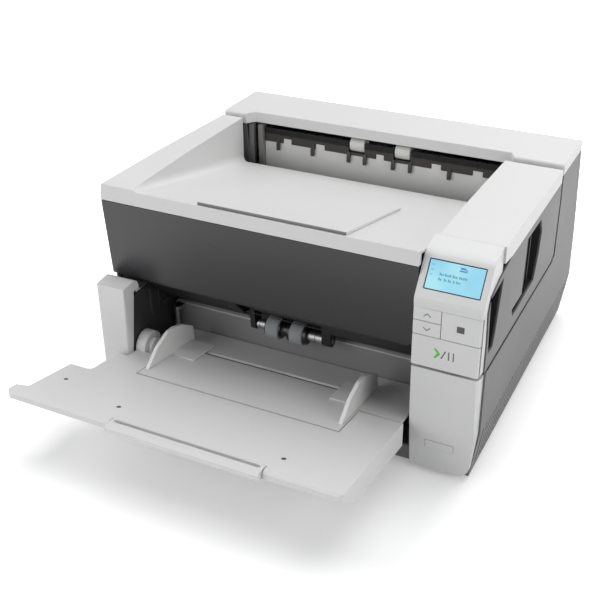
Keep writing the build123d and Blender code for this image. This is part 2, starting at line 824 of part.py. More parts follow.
# Input tray, one thick panel with a notch for the tongue
tray_right = column_left - 2.2
tray_thick = 28.0
tray_lip = 9.0
tray_front = -173.0
tray_left = 24.5
lip_start = -140.0
handle_left = 108.0
handle_right = 278.0
dimples = ((16, -121), (98.4, -141.6), (286, -143.3))
with BuildPart() as input_tray:
    with BuildSketch(across(-ear_overhang)) as tray_view:
        Polygon(
            (tray_join_y, deck(tray_join_y)), (tray_front + 3, deck(tray_front + 3)),
            (tray_front, deck(tray_front, 3)), (tray_front, deck(tray_front, tray_lip)),
            (lip_start, deck(lip_start, tray_thick - 2)), (-120, deck(-120, tray_thick)),
            (tray_join_y, deck(tray_join_y, tray_thick)), align=None,
        )
    extrude(tray_view.sketch, amount=tray_right + ear_overhang)
    with BuildSketch(level(0)) as tray_plan:
        Polygon(
            (-ear_overhang, tray_front), (tray_right, tray_front), (tray_right, tray_join_y),
            (throat_left + 1.2, tray_join_y), (throat_left + 1.2, -41), (tray_left, -41), (tray_left, -90),
            (-2.4, -90), (-6.5, -153.4), (-ear_overhang, -156.8), align=None,
        )
        fillet(tray_plan.vertices().group_by(Axis.Y)[0], radius=6)
        fillet(tray_plan.vertices().sort_by_distance((tray_left, -90))[0], radius=6)
    extrude(tray_plan.sketch, amount=200, mode=Mode.INTERSECT)
    # Notch for the tongue of the platform
    block(
        tongue_left - 1.2, tongue_right + 1.2, tongue_front - 2, 0, 0, 120, mode=Mode.SUBTRACT,
    )
    block(
        tongue_left - 1.2, tongue_right + 1.2, tongue_front - 8, 0, 0, deck(tongue_front - 2, 5.4),
        mode=Mode.SUBTRACT,
    )
    for x0, x1 in ((tongue_left - 9, tongue_left), (tongue_right, tongue_right + 9)):
        rod(tray_axis_y, tray_axis_z, x0, x1, pin_radius + shaft_gap, mode=Mode.SUBTRACT)
    # Hollow under the deck
    slab(
        (
            (tray_join_y - 3, deck(tray_join_y - 3, 3)), (tray_front + 6, deck(tray_front + 6, 3)),
            (tray_front + 6, deck(tray_front + 6, 20)), (lip_start, 40), (tray_join_y - 3, 20),
        ),
        tongue_right + 14,
        tray_right - 3,
        mode=Mode.SUBTRACT,
    )
    slab(
        (
            (tongue_front - 5, deck(tongue_front - 5, 3)), (tray_front + 6, deck(tray_front + 6, 3)),
            (tray_front + 6, deck(tray_front + 6, 20)), (lip_start, 40), (tongue_front - 5, 40),
        ),
        handle_right + 6,
        tongue_right + 14.1,
        mode=Mode.SUBTRACT,
    )
    # Channel of the tray extension
    slab(
        (
            (tongue_front - 8, deck(tongue_front - 8, 4)), (-200, deck(-200, 4)), (-200, deck(-200, 40)),
            (tongue_front - 8, deck(tongue_front - 8, 40)),
        ),
        handle_left - 1,
        handle_right + 1,
        mode=Mode.SUBTRACT,
    )
    block(handle_left - 1, handle_right + 1, -185, -163, 40, 120, mode=Mode.SUBTRACT)
    for dimple_x, dimple_y in dimples:
        post(dimple_x, dimple_y, deck(dimple_y, 0.9), deck(dimple_y, -2), 2.6, mode=Mode.SUBTRACT)

slot_y = -167.3
slot_width = 4.6
with BuildPart() as tray_extension:
    slab(
        (
            (tongue_front - 10, deck(tongue_front - 10, 4.4)), (-163.5, deck(-163.5, 4.4)),
            (-163.5, deck(-163.5, -0.2)), (-176, deck(-176, -0.2)),
            (-tray_reach, deck(-180, 3)), (-tray_reach, deck(-180, 8)), (-176, deck(-176, 10)),
            (tongue_front - 10, deck(tongue_front - 10, 8.4)),
        ),
        handle_left,
        handle_right,
    )
    with BuildSketch(level(40)) as handle_slot:
        with Locations(((handle_left + handle_right) / 2 - 0.5, slot_y)):
            RectangleRounded(handle_right - handle_left - 7, slot_width, slot_width * 0.45)
    extrude(handle_slot.sketch, amount=80, mode=Mode.SUBTRACT)

# Cover: light top with the output recess
floor_slope = 0.235
floor_datum_y = 37.0
floor_datum_z = body_height - 11.0
recess_left_front = 40.0
recess_left_rear = 27.0
recess_right = body_width - 66.0


def floor_z(y, drop=0.0):
    return floor_datum_z - floor_slope * (y - floor_datum_y) - drop


def recess_tool(grow, y0, y1, top_front, top_rear):
    with BuildPart() as tool:
        slab(
            (
                (y0, floor_z(y0, grow * 1.03)), (y1, floor_z(y1, grow * 1.03)), (y1, top_rear),
                (y0, top_front),
            ),
            0,
            body_width,
        )
        with BuildSketch(level(0)) as plan:
            Polygon(
                (recess_left_front - grow, y0), (recess_right + grow, y0), (recess_right + grow, y1),
                (recess_left_rear - grow, y1), align=None,
            )
        extrude(plan.sketch, amount=400, mode=Mode.INTERSECT)
        long_edges = tool.edges().filter_by(lambda edge: edge.length > (y1 - y0) * 0.9)
        fillet(long_edges.sort_by(lambda edge: edge.center().Z)[0:2], radius=9 + grow)
    return tool


rim_bottom = body_height - 15.0
band_bottom = body_height - 20.0
cover_profile = (
    (-9.4, rim_bottom),
    (-6.3, cover_top),
    (108, cover_top - 1.3),
    (cover_depth, cover_rear_top),
    (cover_depth, band_bottom),
    (60, band_bottom),
    (20, rim_bottom),
)
recess_outer = recess_tool(wall, -6.0, cover_depth, cover_top - 0.2, cover_rear_top)
recess_inner = recess_tool(0, -30.0, cover_depth + 30, cover_top + 30, cover_top + 30)
with BuildPart() as cover_shell:
    slab(cover_profile, 0, body_width)
    with BuildSketch(across(wall)) as hollow_view:
        Polygon(
            (-9.4 + wall + 1, rim_bottom - 40), (-6.3 + wall + 1, cover_top - wall),
            (108, cover_top - 1.3 - wall),
            (cover_depth - wall, cover_rear_top - wall), (cover_depth - wall, rim_bottom - 40), align=None,
        )
    extrude(hollow_view.sketch, amount=body_width - 2 * wall, mode=Mode.SUBTRACT)
    add(recess_outer.part)
    add(recess_inner.part, mode=Mode.SUBTRACT)
    # Notches for the hinge arms, and the bosses on their pins
    for arm_left, arm_right in arm_spans:
        block(
            arm_left - 7, arm_right + 7, hinge_y - 8, cover_depth + 1, band_bottom - 3, hinge_z + 3.6,
            mode=Mode.SUBTRACT,
        )
        for x0 in (arm_left - 5.5, arm_right + 0.5):
            rod(hinge_y, hinge_z, x0, x0 + 5, boss_radius)
            block(x0, x0 + 5, hinge_y - 4, hinge_y + 1, hinge_z + 2, hinge_z + 5.5)
            rod(hinge_y, hinge_z, x0 - 1, x0 + 6, pin_radius + shaft_gap, mode=Mode.SUBTRACT)
    # Corner where the control bezel sits
    block(
        bezel_left - 0.4, body_width + 1, -30, 33.4, body_height - 54.5, body_height + 15.5,
        mode=Mode.SUBTRACT,
    )

panel_top = rim_bottom - 0.5
panel_bottom = seam_height + 12.0
with BuildPart() as cover_front_panel:
    slab(
        (
            (-9.4, panel_top), (-2.7, panel_bottom), (-2.7 + wall, panel_bottom), (-9.4 + wall, panel_top),
        ),
        0.4,
        bezel_left - 0.6,
    )
    slab(
        (
            (-9.0 + wall, panel_top), (-2.3 + wall, panel_bottom), (18, panel_bottom), (18, panel_top),
        ),
        0.4,
        0.4 + wall,
    )

skin_right = body_width - 0.6
liner_face = skin_right - wall - key_gap
slot_front_outline = (
    (-2.5, body_height - 36.5), (36, body_height - 32.5), (22, seam_height + 31), (17, seam_height + 19),
    (2.5, seam_height + 19), (-2.5, body_height - 54.5),
)
slot_rear_outline = (
    (119, body_height - 29.5), (171, body_height - 29.5), (181, body_height - 47.5), (177, seam_height + 46),
    (166, seam_height + 19), (86, seam_height + 16), (82, seam_height + 26), (117, seam_height + 26),
)


def side_skin(x0, x1, front_edge):
    slab(
        (
            *front_edge,
            (riser_front - 7, band_bottom - 0.5),
            (riser_front - 4, body_height - 48),
            (riser_front - 4, cover_bottom + 5),
            (riser_front - 19, cover_bottom),
        ),
        x0,
        x1,
    )


with BuildPart() as cover_side_left:
    side_skin(
        0,
        wall,
        (
            (3, cover_bottom), (3, panel_bottom - 0.6), (19, panel_bottom - 0.6), (19, rim_bottom - 0.5),
            (60, band_bottom - 0.5),
        ),
    )
    block(wall - 0.5, 24, riser_front - 9, riser_front - 6.5, cover_bottom + 8, body_height - 62)

with BuildPart() as cover_side_right:
    side_skin(
        skin_right - wall,
        skin_right,
        (
            (-3, cover_bottom), (-3, seam_height + 36), (-7, body_height - 49.5), (-1, body_height - 35.5),
            (20, body_height - 28.5), (34, band_bottom - 5.5), (60, band_bottom - 0.5),
        ),
    )
    block(
        body_width - 24, body_width - 3, riser_front - 9, riser_front - 6.5, cover_bottom + 8, body_height - 62,
    )
    slab(slot_front_outline, body_width - 6, body_width + 1, mode=Mode.SUBTRACT)
    slab(slot_rear_outline, body_width - 6, body_width + 1, mode=Mode.SUBTRACT)

liner_depth = 14.0
with BuildPart() as side_slot_liner:
    for outline in (slot_front_outline, slot_rear_outline):
        with BuildSketch(across(liner_face - liner_depth)) as pocket:
            Polygon(*outline, align=None)
            offset(amount=wall, kind=Kind.INTERSECTION)
        extrude(pocket.sketch, amount=liner_depth)
        with BuildSketch(across(liner_face - liner_depth + wall)) as mouth:
            Polygon(*outline, align=None)
        extrude(mouth.sketch, amount=liner_depth, mode=Mode.SUBTRACT)
    for rail in (132, 144, 156):
        block(
            liner_face - liner_depth + 1, liner_face - 3, rail, rail + 3, seam_height + 17, body_height - 28.5,
        )
    block(
        bezel_right - wall - key_gap, liner_face + 1, -10, 4, body_height - 54.5, body_height - 28.5,
        mode=Mode.SUBTRACT,
    )

# Lower unit of the cover: a black tub above the paper path
under_front = 5.0
under_left = throat_left + 6.0
under_right = throat_right - 6.0
path_lift = 2.4
under_floor = throat_lip + 28.5
feed_left = paper_centre - 40.0
feed_right = paper_centre + 64.0
tub_profile = (
    (under_front, panel_bottom),
    (under_front, panel_bottom - 7),
    (30, under_floor),
    (throat_rear + 3, under_floor),
    (throat_rear + 6, path_z(throat_rear + 8) + path_lift),
    (path_bend_y - 6, path_bend_z + path_lift),
    (path_bend_y + 24, path_bend_z + path_lift + 22),
    (cover_depth - 2, seam_height + 14),
    (cover_depth - 2, seam_height + 36),
)
with BuildPart() as cover_underframe:
    with BuildSketch(across(under_left)) as tub_view:
        Polygon(*tub_profile, align=None)
    extrude(tub_view.sketch, amount=under_right - under_left)
    with BuildSketch(across(under_left + wall)) as tub_inside:
        Polygon(*tub_profile, align=None)
        offset(amount=-wall, kind=Kind.INTERSECTION)
    extrude(tub_inside.sketch, amount=under_right - under_left - 2 * wall, mode=Mode.SUBTRACT)
    # Flanges out to the side skins
    for x0, x1 in ((wall + 0.4, under_left + 1), (under_right - 1, skin_right - wall - 0.4)):
        block(x0, x1, 8, riser_front - 20, cover_bottom + 1, cover_bottom + 4)
    # Windows for the feed tyres, the transport tyres and the glass
    block(
        feed_left, feed_right, under_front - 1, throat_rear + 2, under_floor - 14, under_floor + wall + 0.1,
        mode=Mode.SUBTRACT,
    )
    block(
        feed_left, feed_right, under_front - 1, 30, under_floor, panel_bottom - 9, mode=Mode.SUBTRACT,
    )
    for window_x in side_centres:
        block(
            window_x - 14, window_x + 14, roller_y - 13, roller_y + 13, path_low, throat_lip + 18.5,
            mode=Mode.SUBTRACT,
        )
    block(
        under_left + 8, under_right - 8, glass_front, glass_rear, throat_lip + 4.5, throat_lip + 18.5,
        mode=Mode.SUBTRACT,
    )

with BuildPart() as upper_glass:
    slab(
        (
            (glass_front + key_gap, path_z(glass_front) + path_lift),
            (glass_rear - key_gap, path_z(glass_rear) + path_lift),
            (glass_rear - key_gap, path_z(glass_rear) + path_lift + 3),
            (glass_front + key_gap, path_z(glass_front) + path_lift + 3),
        ),
        under_left + 8.3,
        under_right - 8.3,
    )

with BuildPart() as upper_camera:
    slab(
        (
            (glass_front - 4, path_z(glass_front) + path_lift + 4),
            (glass_rear + 4, path_z(glass_rear) + path_lift + 4),
            (glass_rear + 14, throat_lip + 32.5), (glass_rear + 14, throat_lip + 58.5),
            (glass_front - 10, throat_lip + 58.5), (glass_front - 10, throat_lip + 32.5),
        ),
        under_left + 6,
        under_right - 6,
    )
    slab(
        (
            (glass_front + 2, path_low), (glass_rear - 2, path_low), (glass_rear - 4, throat_lip + 50.5),
            (glass_front + 4, throat_lip + 50.5),
        ),
        under_left + 12,
        under_right - 12,
        mode=Mode.SUBTRACT,
    )

with BuildPart() as upper_transport_roller:
    roller(
        roller_y, upper_transport_z, under_left + wall + 2, under_right - wall - 2, transport_radius, 24,
        side_centres,
    )

tyre_width = 15.6
tyre_centres = (paper_centre - 10.8, paper_centre + 18.6)
with BuildPart() as feed_roller:
    roller(feed_y, feed_z, feed_left + 1, feed_right - 5, feed_radius, tyre_width, tyre_centres)
    # Hub between the tyres, flange on the right and a collar at each end
    rod(feed_y, feed_z, tyre_centres[0], tyre_centres[1], 9)
    rod(feed_y, feed_z, tyre_centres[1], tyre_centres[1] + 12, 9.5)
    rod(feed_y, feed_z, feed_left + 8, tyre_centres[0], 5.5)
    rod(feed_y, feed_z, tyre_centres[1], feed_right - 16, 6)

arm_boss = 7.0
with BuildPart() as cover_bearings:
    for x0 in (under_left + wall + 0.2, under_right - wall - 5.2):
        block(
            x0, x0 + 5, roller_y - 6, roller_y + 6, path_z(roller_y + 6) + path_lift + wall + 0.5,
            upper_transport_z + 9,
        )
        rod(roller_y, upper_transport_z, x0 - 1, x0 + 6, shaft_radius + shaft_gap, mode=Mode.SUBTRACT)
    # Arms of the feed roller under their carrier
    for x0, x1 in ((feed_left + 1, feed_left + 7), (feed_right - 15, feed_right - 5)):
        slab(
            (
                (feed_y - arm_boss, feed_z), (feed_y + arm_boss, feed_z),
                (feed_y + 9, under_floor + 4), (feed_y - 9, under_floor + 4),
            ),
            x0,
            x1,
        )
        rod(feed_y, feed_z, x0, x1, arm_boss)
        rod(feed_y, feed_z, x0 - 1, x1 + 1, shaft_radius + shaft_gap, mode=Mode.SUBTRACT)
    block(feed_left - 4, feed_right + 4, feed_y - 9, feed_y + 9, under_floor + wall + 0.3, under_floor + 7)

# Control bezel, its window and keys
face_y = -19.0
facet_low = (-20.0, body_height - 42.5)
facet_high = (5.4, body_height - 6.5)
facet_length = hypot(facet_high[0] - facet_low[0], facet_high[1] - facet_low[1])
facet = Plane(
    origin=(left + bezel_left, front + facet_low[0], facet_low[1]),
    x_dir=(1, 0, 0),
    z_dir=(0, -(facet_high[1] - facet_low[1]), facet_high[0] - facet_low[0]),
)
bezel_bottom = seam_height + 2.5
key_top = body_height - 51.5
bezel_round = 8.0
bezel_bends = (
    ((face_y, body_height - 49.5), 14), (facet_low, 10), (facet_high, 12), ((12, body_height - 3), 24),
    ((26, body_height + 0.4), 30),
)
with BuildPart() as bezel_solid:
    with BuildSketch(across(bezel_left)) as bezel_side:
        Polygon(
            (face_y, bezel_bottom), (face_y, body_height - 49.5), facet_low, facet_high,
            (12, body_height - 3),
            (26, body_height + 0.4), (33, cover_top - 0.4), (33, body_height - 25.5), (20, body_height - 28),
            (-2, body_height - 35), (-8, body_height - 49.5), (-4, seam_height + 36), (-4, bezel_bottom),
            align=None,
        )
        for bend, bend_radius in bezel_bends:
            fillet(bezel_side.vertices().sort_by_distance(bend)[0], radius=bend_radius)
    extrude(bezel_side.sketch, amount=bezel_right - bezel_left)
    with BuildSketch(level(100)) as bezel_plan:
        Polygon(
            (bezel_left, face_y - 3), (bezel_right, face_y - 3), (bezel_right, 40), (bezel_left, 40),
            align=None,
        )
        fillet(bezel_plan.vertices().group_by(Axis.Y)[0].sort_by(Axis.X)[-1], radius=bezel_round)
    extrude(bezel_plan.sketch, amount=200, mode=Mode.INTERSECT)

with BuildPart() as bezel_hollow:
    slab(
        (
            (face_y + wall, bezel_bottom - 5), (face_y + wall, body_height - 49.5),
            (facet_low[0] + wall + 0.6, facet_low[1] - 0.5),
            (facet_high[0] + 1.4, facet_high[1] - wall - 0.6), (12, body_height - 3 - wall),
            (34, cover_top - 0.4 - wall), (34, bezel_bottom - 5),
        ),
        bezel_left + wall,
        bezel_right - wall,
    )

carrier_y = face_y + wall + 2.5
with BuildPart() as control_bezel:
    add(bezel_solid.part)
    add(bezel_hollow.part, mode=Mode.SUBTRACT)
    block(
        bezel_left - 1, bezel_right + 1, face_y - 5, carrier_y, bezel_bottom - 5, key_top, mode=Mode.SUBTRACT,
    )
    block(bezel_left + 1, bezel_right - 1, carrier_y, carrier_y + 1.5, bezel_bottom + 0.5, key_top + 1)
    with BuildSketch(facet) as window:
        with Locations(((bezel_right - bezel_left) / 2, 25.5)):
            Rectangle(56, 30)
    extrude(window.sketch, amount=-6, mode=Mode.SUBTRACT)

with BuildPart() as lcd_window:
    with BuildSketch(facet.offset(-2.2)) as pane:
        with Locations(((bezel_right - bezel_left) / 2, 25.5)):
            Rectangle(56 - 2 * key_gap, 30 - 2 * key_gap)
    extrude(pane.sketch, amount=1.4)

with BuildPart() as lcd_module:
    with BuildSketch(facet.offset(-3)) as module:
        with Locations(((bezel_right - bezel_left) / 2, 24.5)):
            Rectangle(60, 34)
    extrude(module.sketch, amount=-4)
    with BuildSketch(facet.offset(-3)) as module_lip:
        with Locations(((bezel_right - bezel_left) / 2, 25.5)):
            Rectangle(54, 28)
    extrude(module_lip.sketch, amount=0.6)

stem = 3.0


def key(x0, x1, z0, z1):
    with BuildPart() as piece:
        add(bezel_solid.part)
        block(x0, x1, face_y - 5, face_y + wall, z0, z1, mode=Mode.INTERSECT)
        centre_x = (x0 + x1) / 2
        centre_z = (z0 + z1) / 2
        block(
            centre_x - stem,
            centre_x + stem,
            face_y + wall - 0.5,
            carrier_y - 0.9,
            centre_z - stem,
            centre_z + stem,
        )
    return piece


key_split = bezel_left + 28.0
key_mid = key_top - 14.5
key_low = key_top - 30.0
key_up = key(bezel_left, key_split - key_gap, key_mid + key_gap, key_top - key_gap)
key_down = key(bezel_left, key_split - key_gap, key_low + key_gap, key_mid - key_gap)
key_stop = key(key_split + key_gap, bezel_right, key_low + key_gap, key_top - key_gap)
key_start = key(bezel_left, bezel_right, bezel_bottom, key_low - key_gap)

# Output extension, a thin plate that lies on the recess floor
plate_left = 118.0
plate_right = 285.0
plate_front = -3.0
plate_rear = 142.0
plate_lift = slide_gap
with BuildPart() as output_extension:
    slab(
        (
            (plate_front, floor_z(plate_front, -plate_lift)), (plate_rear, floor_z(plate_rear, -plate_lift)),
            (plate_rear, floor_z(plate_rear, -plate_lift - 3)),
            (plate_front + 1, floor_z(plate_front, -plate_lift - 3)),
        ),
        plate_left,
        plate_right,
    )

pieces = {
    "base_housing": base_housing,
    "vent_panel": vent_panel,
    "left_pillar": left_pillar,
    "right_column": right_column,
    "power_button": power_button,
    "throat_liner": throat_liner,
    "throat_wall": throat_wall,
    "elevator_rails": elevator_rails,
    "lower_guide": lower_guide,
    "lower_glass": lower_glass,
    "lower_camera": lower_camera,
    "separation_roller": separation_roller,
    "lower_transport_roller": lower_transport_roller,
    "roller_bearings": roller_bearings,
    "drive_motor": drive_motor,
    "drive_pulley": drive_pulley,
    "fan_frame": fan_frame,
    "fan_rotor": fan_rotor,
    "power_supply": power_supply,
    "main_board": main_board,
    "power_inlet": power_inlet,
    "data_port": data_port,
    "rubber_feet": rubber_feet,
    "rear_cap": rear_cap,
    "exit_comb": exit_comb,
    "exit_backplate": exit_backplate,
    "exit_bracket": exit_bracket,
    "exit_roller": exit_roller,
    "exit_bearings": exit_bearings,
    "hinge_arms": hinge_arms,
    "rear_door": rear_door,
    "elevator_platform": elevator_platform,
    "guide_left": guide_left,
    "guide_right": guide_right,
    "guide_pinion": guide_pinion,
    "pinion_post": pinion_post,
    "input_tray": input_tray,
    "tray_extension": tray_extension,
    "cover_shell": cover_shell,
    "cover_front_panel": cover_front_panel,
    "cover_side_left": cover_side_left,
    "cover_side_right": cover_side_right,
    "side_slot_liner": side_slot_liner,
    "cover_underframe": cover_underframe,
    "upper_glass": upper_glass,
    "upper_camera": upper_camera,
    "upper_transport_roller": upper_transport_roller,
    "cover_bearings": cover_bearings,
    "feed_roller": feed_roller,
    "control_bezel": control_bezel,
    "lcd_window": lcd_window,
    "lcd_module": lcd_module,
    "key_up": key_up,
    "key_down": key_down,
    "key_stop": key_stop,
    "key_start": key_start,
    "output_extension": output_extension,
}
os.makedirs("parts", exist_ok=True)
for node, piece in pieces.items():
    piece.part.label = node
    export_step(piece.part, f"parts/{node}.step")
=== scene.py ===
import bpy
import bmesh
import json
import math
import random
from mathutils import Matrix, Vector


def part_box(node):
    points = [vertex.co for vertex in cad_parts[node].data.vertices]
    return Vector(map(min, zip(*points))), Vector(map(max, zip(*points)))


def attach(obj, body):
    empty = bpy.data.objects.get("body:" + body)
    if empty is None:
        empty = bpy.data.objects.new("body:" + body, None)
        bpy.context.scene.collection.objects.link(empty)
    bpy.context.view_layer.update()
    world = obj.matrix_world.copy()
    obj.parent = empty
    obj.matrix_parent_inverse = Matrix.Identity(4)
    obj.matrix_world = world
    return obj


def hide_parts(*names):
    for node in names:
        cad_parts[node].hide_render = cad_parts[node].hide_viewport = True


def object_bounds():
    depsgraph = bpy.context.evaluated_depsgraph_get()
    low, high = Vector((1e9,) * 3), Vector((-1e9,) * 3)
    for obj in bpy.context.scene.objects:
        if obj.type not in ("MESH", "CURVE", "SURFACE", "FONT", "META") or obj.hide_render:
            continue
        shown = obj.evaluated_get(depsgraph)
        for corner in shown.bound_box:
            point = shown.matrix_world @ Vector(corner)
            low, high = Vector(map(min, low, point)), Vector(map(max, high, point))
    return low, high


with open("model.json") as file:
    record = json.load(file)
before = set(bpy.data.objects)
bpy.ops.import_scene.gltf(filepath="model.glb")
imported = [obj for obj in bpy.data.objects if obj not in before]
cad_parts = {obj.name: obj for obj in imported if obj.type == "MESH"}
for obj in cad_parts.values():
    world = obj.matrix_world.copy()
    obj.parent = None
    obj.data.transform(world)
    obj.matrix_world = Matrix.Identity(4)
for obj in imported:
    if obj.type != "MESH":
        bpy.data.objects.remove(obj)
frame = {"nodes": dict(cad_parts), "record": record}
cadBox = [list(corner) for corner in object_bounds()]
nodes = frame["nodes"]
print("stage: frame loaded,", len(nodes), "nodes")

mm = 0.001


# Camera and studio

cameraSettings = {
    "place": (0.43007, -0.89874, 0.68259),
    "azimuth": 26.748,
    "elevation": 29.9,
    "roll": -0.72,
    "lens": 60.64,
    "sensor": 36.0,
    "clipEnd": 20,
}


def makeCamera(s):
    azimuth, elevation, roll = (math.radians(s[key]) for key in ("azimuth", "elevation", "roll"))
    back = Vector((
        math.sin(azimuth) * math.cos(elevation),
        -math.cos(azimuth) * math.cos(elevation),
        math.sin(elevation),
    ))
    right = (-back).cross(Vector((0, 0, 1))).normalized()
    up = right.cross(-back)
    rolledRight = right * math.cos(roll) + up * math.sin(roll)
    rolledUp = up * math.cos(roll) - right * math.sin(roll)
    data = bpy.data.cameras.new("studioCamera")
    data.lens = s["lens"]
    data.sensor_width = s["sensor"]
    data.clip_end = s["clipEnd"]
    camera = bpy.data.objects.new("studioCamera", data)
    turned = Matrix((rolledRight, rolledUp, back)).transposed().to_4x4()
    camera.matrix_world = Matrix.Translation(s["place"]) @ turned
    bpy.context.scene.collection.objects.link(camera)
    bpy.context.scene.camera = camera


lampAim = (0, 0, 0.12)
lampSettings = {
    "overCentre": {"place": (0.3, 0.6, 2.4), "size": 2.4, "power": 38},
    "overRear": {"place": (0.2, 2.0, 1.6), "size": 1.8, "power": 10},
    "frontLeft": {"place": (-1.2, -2.2, 1.1), "size": 2.0, "power": 22},
    "leftFill": {"place": (-2.6, 0.2, 1.2), "size": 1.8, "power": 18.5},
    "rightFill": {"place": (2.6, -0.6, 1.3), "size": 1.6, "power": 17.6},
}


def makeLamp(name, s, aim):
    data = bpy.data.lights.new(name, "AREA")
    data.shape = "DISK"
    data.size = s["size"]
    data.energy = s["power"]
    lamp = bpy.data.objects.new(name, data)
    lamp.location = s["place"]
    beam = Vector(aim) - Vector(s["place"])
    lamp.rotation_euler = beam.to_track_quat("-Z", "Y").to_euler()
    bpy.context.scene.collection.objects.link(lamp)


worldSettings = {"light": (0.86, 0.87, 0.88, 1), "strength": 0.30, "seen": (1, 1, 1, 1)}


def addMath(tree, operation, first, second=None, third=None):
    node = tree.nodes.new("ShaderNodeMath")
    node.operation = operation
    for socket, value in zip(node.inputs, (first, second, third)):
        if value is None:
            continue
        if isinstance(value, (int, float)):
            socket.default_value = value
        else:
            tree.links.new(value, socket)
    return node.outputs[0]


def lightPathMask(tree):
    path = tree.nodes.new("ShaderNodeLightPath")
    seen = addMath(tree, "MAXIMUM", path.outputs["Is Camera Ray"], path.outputs["Is Glossy Ray"])
    return addMath(tree, "MAXIMUM", seen, path.outputs["Is Transmission Ray"])


def makeWorld(s):
    world = bpy.data.worlds.new("studioWorld")
    world.use_nodes = True
    bpy.context.scene.world = world
    tree = world.node_tree
    tree.nodes.clear()
    lit = tree.nodes.new("ShaderNodeBackground")
    lit.inputs["Color"].default_value = s["light"]
    lit.inputs["Strength"].default_value = s["strength"]
    seen = tree.nodes.new("ShaderNodeBackground")
    seen.inputs["Color"].default_value = s["seen"]
    mix = tree.nodes.new("ShaderNodeMixShader")
    out = tree.nodes.new("ShaderNodeOutputWorld")
    path = tree.nodes.new("ShaderNodeLightPath")
    tree.links.new(path.outputs["Is Camera Ray"], mix.inputs[0])
    tree.links.new(lit.outputs[0], mix.inputs[1])
    tree.links.new(seen.outputs[0], mix.inputs[2])
    tree.links.new(mix.outputs[0], out.inputs[0])


# The floor's own brightness to the camera, from the object's shadow out to plain white
floorSettings = {
    "reach": 12.0,
    "drop": 0.0002,
    "colour": (0.82, 0.82, 0.82, 1),
    "lift": 0.24,
    "inside": 0.03,
    "spread": 0.20,
}


def makeFloor(s):
    bm = bmesh.new()
    bmesh.ops.create_grid(bm, x_segments=1, y_segments=1, size=s["reach"])
    mesh = bpy.data.meshes.new("studioFloor")
    bm.to_mesh(mesh)
    bm.free()
    floor = bpy.data.objects.new("studioFloor", mesh)
    floor.location.z = -s["drop"]
    bpy.context.scene.collection.objects.link(floor)
    material = bpy.data.materials.new("studioFloor")
    material.use_nodes = True
    tree = material.node_tree
    tree.nodes.clear()
    matt = tree.nodes.new("ShaderNodeBsdfDiffuse")
    matt.inputs["Color"].default_value = s["colour"]
    glow = tree.nodes.new("ShaderNodeEmission")
    # How far a point of the floor is outside the object's footprint
    split = tree.nodes.new("ShaderNodeSeparateXYZ")
    tree.links.new(tree.nodes.new("ShaderNodeTexCoord").outputs["Object"], split.inputs[0])
    gaps = [
        addMath(tree, "SUBTRACT", addMath(tree, "ABSOLUTE", split.outputs[axis]), cadBox[1][count])
        for count, axis in enumerate("XY")
    ]
    outside = addMath(tree, "ADD", addMath(tree, "MAXIMUM", *gaps), s["inside"])
    ramp = addMath(tree, "DIVIDE", outside, s["spread"])
    ramp = addMath(tree, "MINIMUM", addMath(tree, "MAXIMUM", ramp, 0.0), 1.0)
    lift = addMath(tree, "MULTIPLY_ADD", ramp, 1 - s["lift"], s["lift"])
    tree.links.new(addMath(tree, "MULTIPLY", lift, lightPathMask(tree)), glow.inputs["Strength"])
    both = tree.nodes.new("ShaderNodeAddShader")
    out = tree.nodes.new("ShaderNodeOutputMaterial")
    tree.links.new(matt.outputs[0], both.inputs[0])
    tree.links.new(glow.outputs[0], both.inputs[1])
    tree.links.new(both.outputs[0], out.inputs[0])
    mesh.materials.append(material)


bpy.context.scene.view_settings.view_transform = "Standard"
makeCamera(cameraSettings)
for lampName, lampValues in lampSettings.items():
    makeLamp(lampName, lampValues, lampAim)
makeWorld(worldSettings)
makeFloor(floorSettings)
print("stage: studio ready")


# Shared surface effects, each a node group

def newGroup(name, inputs, outputs):
    group = bpy.data.node_groups.new(name, "ShaderNodeTree")
    for socketName, socketType, value in inputs:
        socket = group.interface.new_socket(name=socketName, in_out="INPUT", socket_type=socketType)
        socket.default_value = value
    for socketName, socketType in outputs:
        group.interface.new_socket(name=socketName, in_out="OUTPUT", socket_type=socketType)
    entry = group.nodes.new("NodeGroupInput")
    leave = group.nodes.new("NodeGroupOutput")
    return group, entry, leave


def addNoise(tree, where, scale, detail=2.0, stretch=None):
    noise = tree.nodes.new("ShaderNodeTexNoise")
    noise.inputs["Detail"].default_value = detail
    if isinstance(scale, (int, float)):
        noise.inputs["Scale"].default_value = scale
    else:
        tree.links.new(scale, noise.inputs["Scale"])
    if stretch is not None:
        squeeze = tree.nodes.new("ShaderNodeMapping")
        squeeze.inputs["Scale"].default_value = stretch
        tree.links.new(where, squeeze.inputs["Vector"])
        where = squeeze.outputs[0]
    tree.links.new(where, noise.inputs["Vector"])
    return noise.outputs[0]


def objectPoint(tree):
    return tree.nodes.new("ShaderNodeTexCoord").outputs["Object"]


def scaleColour(tree, colour, factor):
    scaled = tree.nodes.new("ShaderNodeVectorMath")
    scaled.operation = "SCALE"
    tree.links.new(colour, scaled.inputs[0])
    tree.links.new(factor, scaled.inputs["Scale"])
    return scaled.outputs[0]


# Spark-eroded grain, faint cloudiness, flow marks and uneven gloss of a textured moulding
mouldedSettings = {
    "cloudScale": 9.0,
    "flowScale": 26.0,
    "flowStretch": (0.25, 1.0, 1.6),
    "flowWeight": 0.5,
    "coarseSize": 0.31,
    "coarseWeight": 0.6,
    "speckle": 0.08,
}


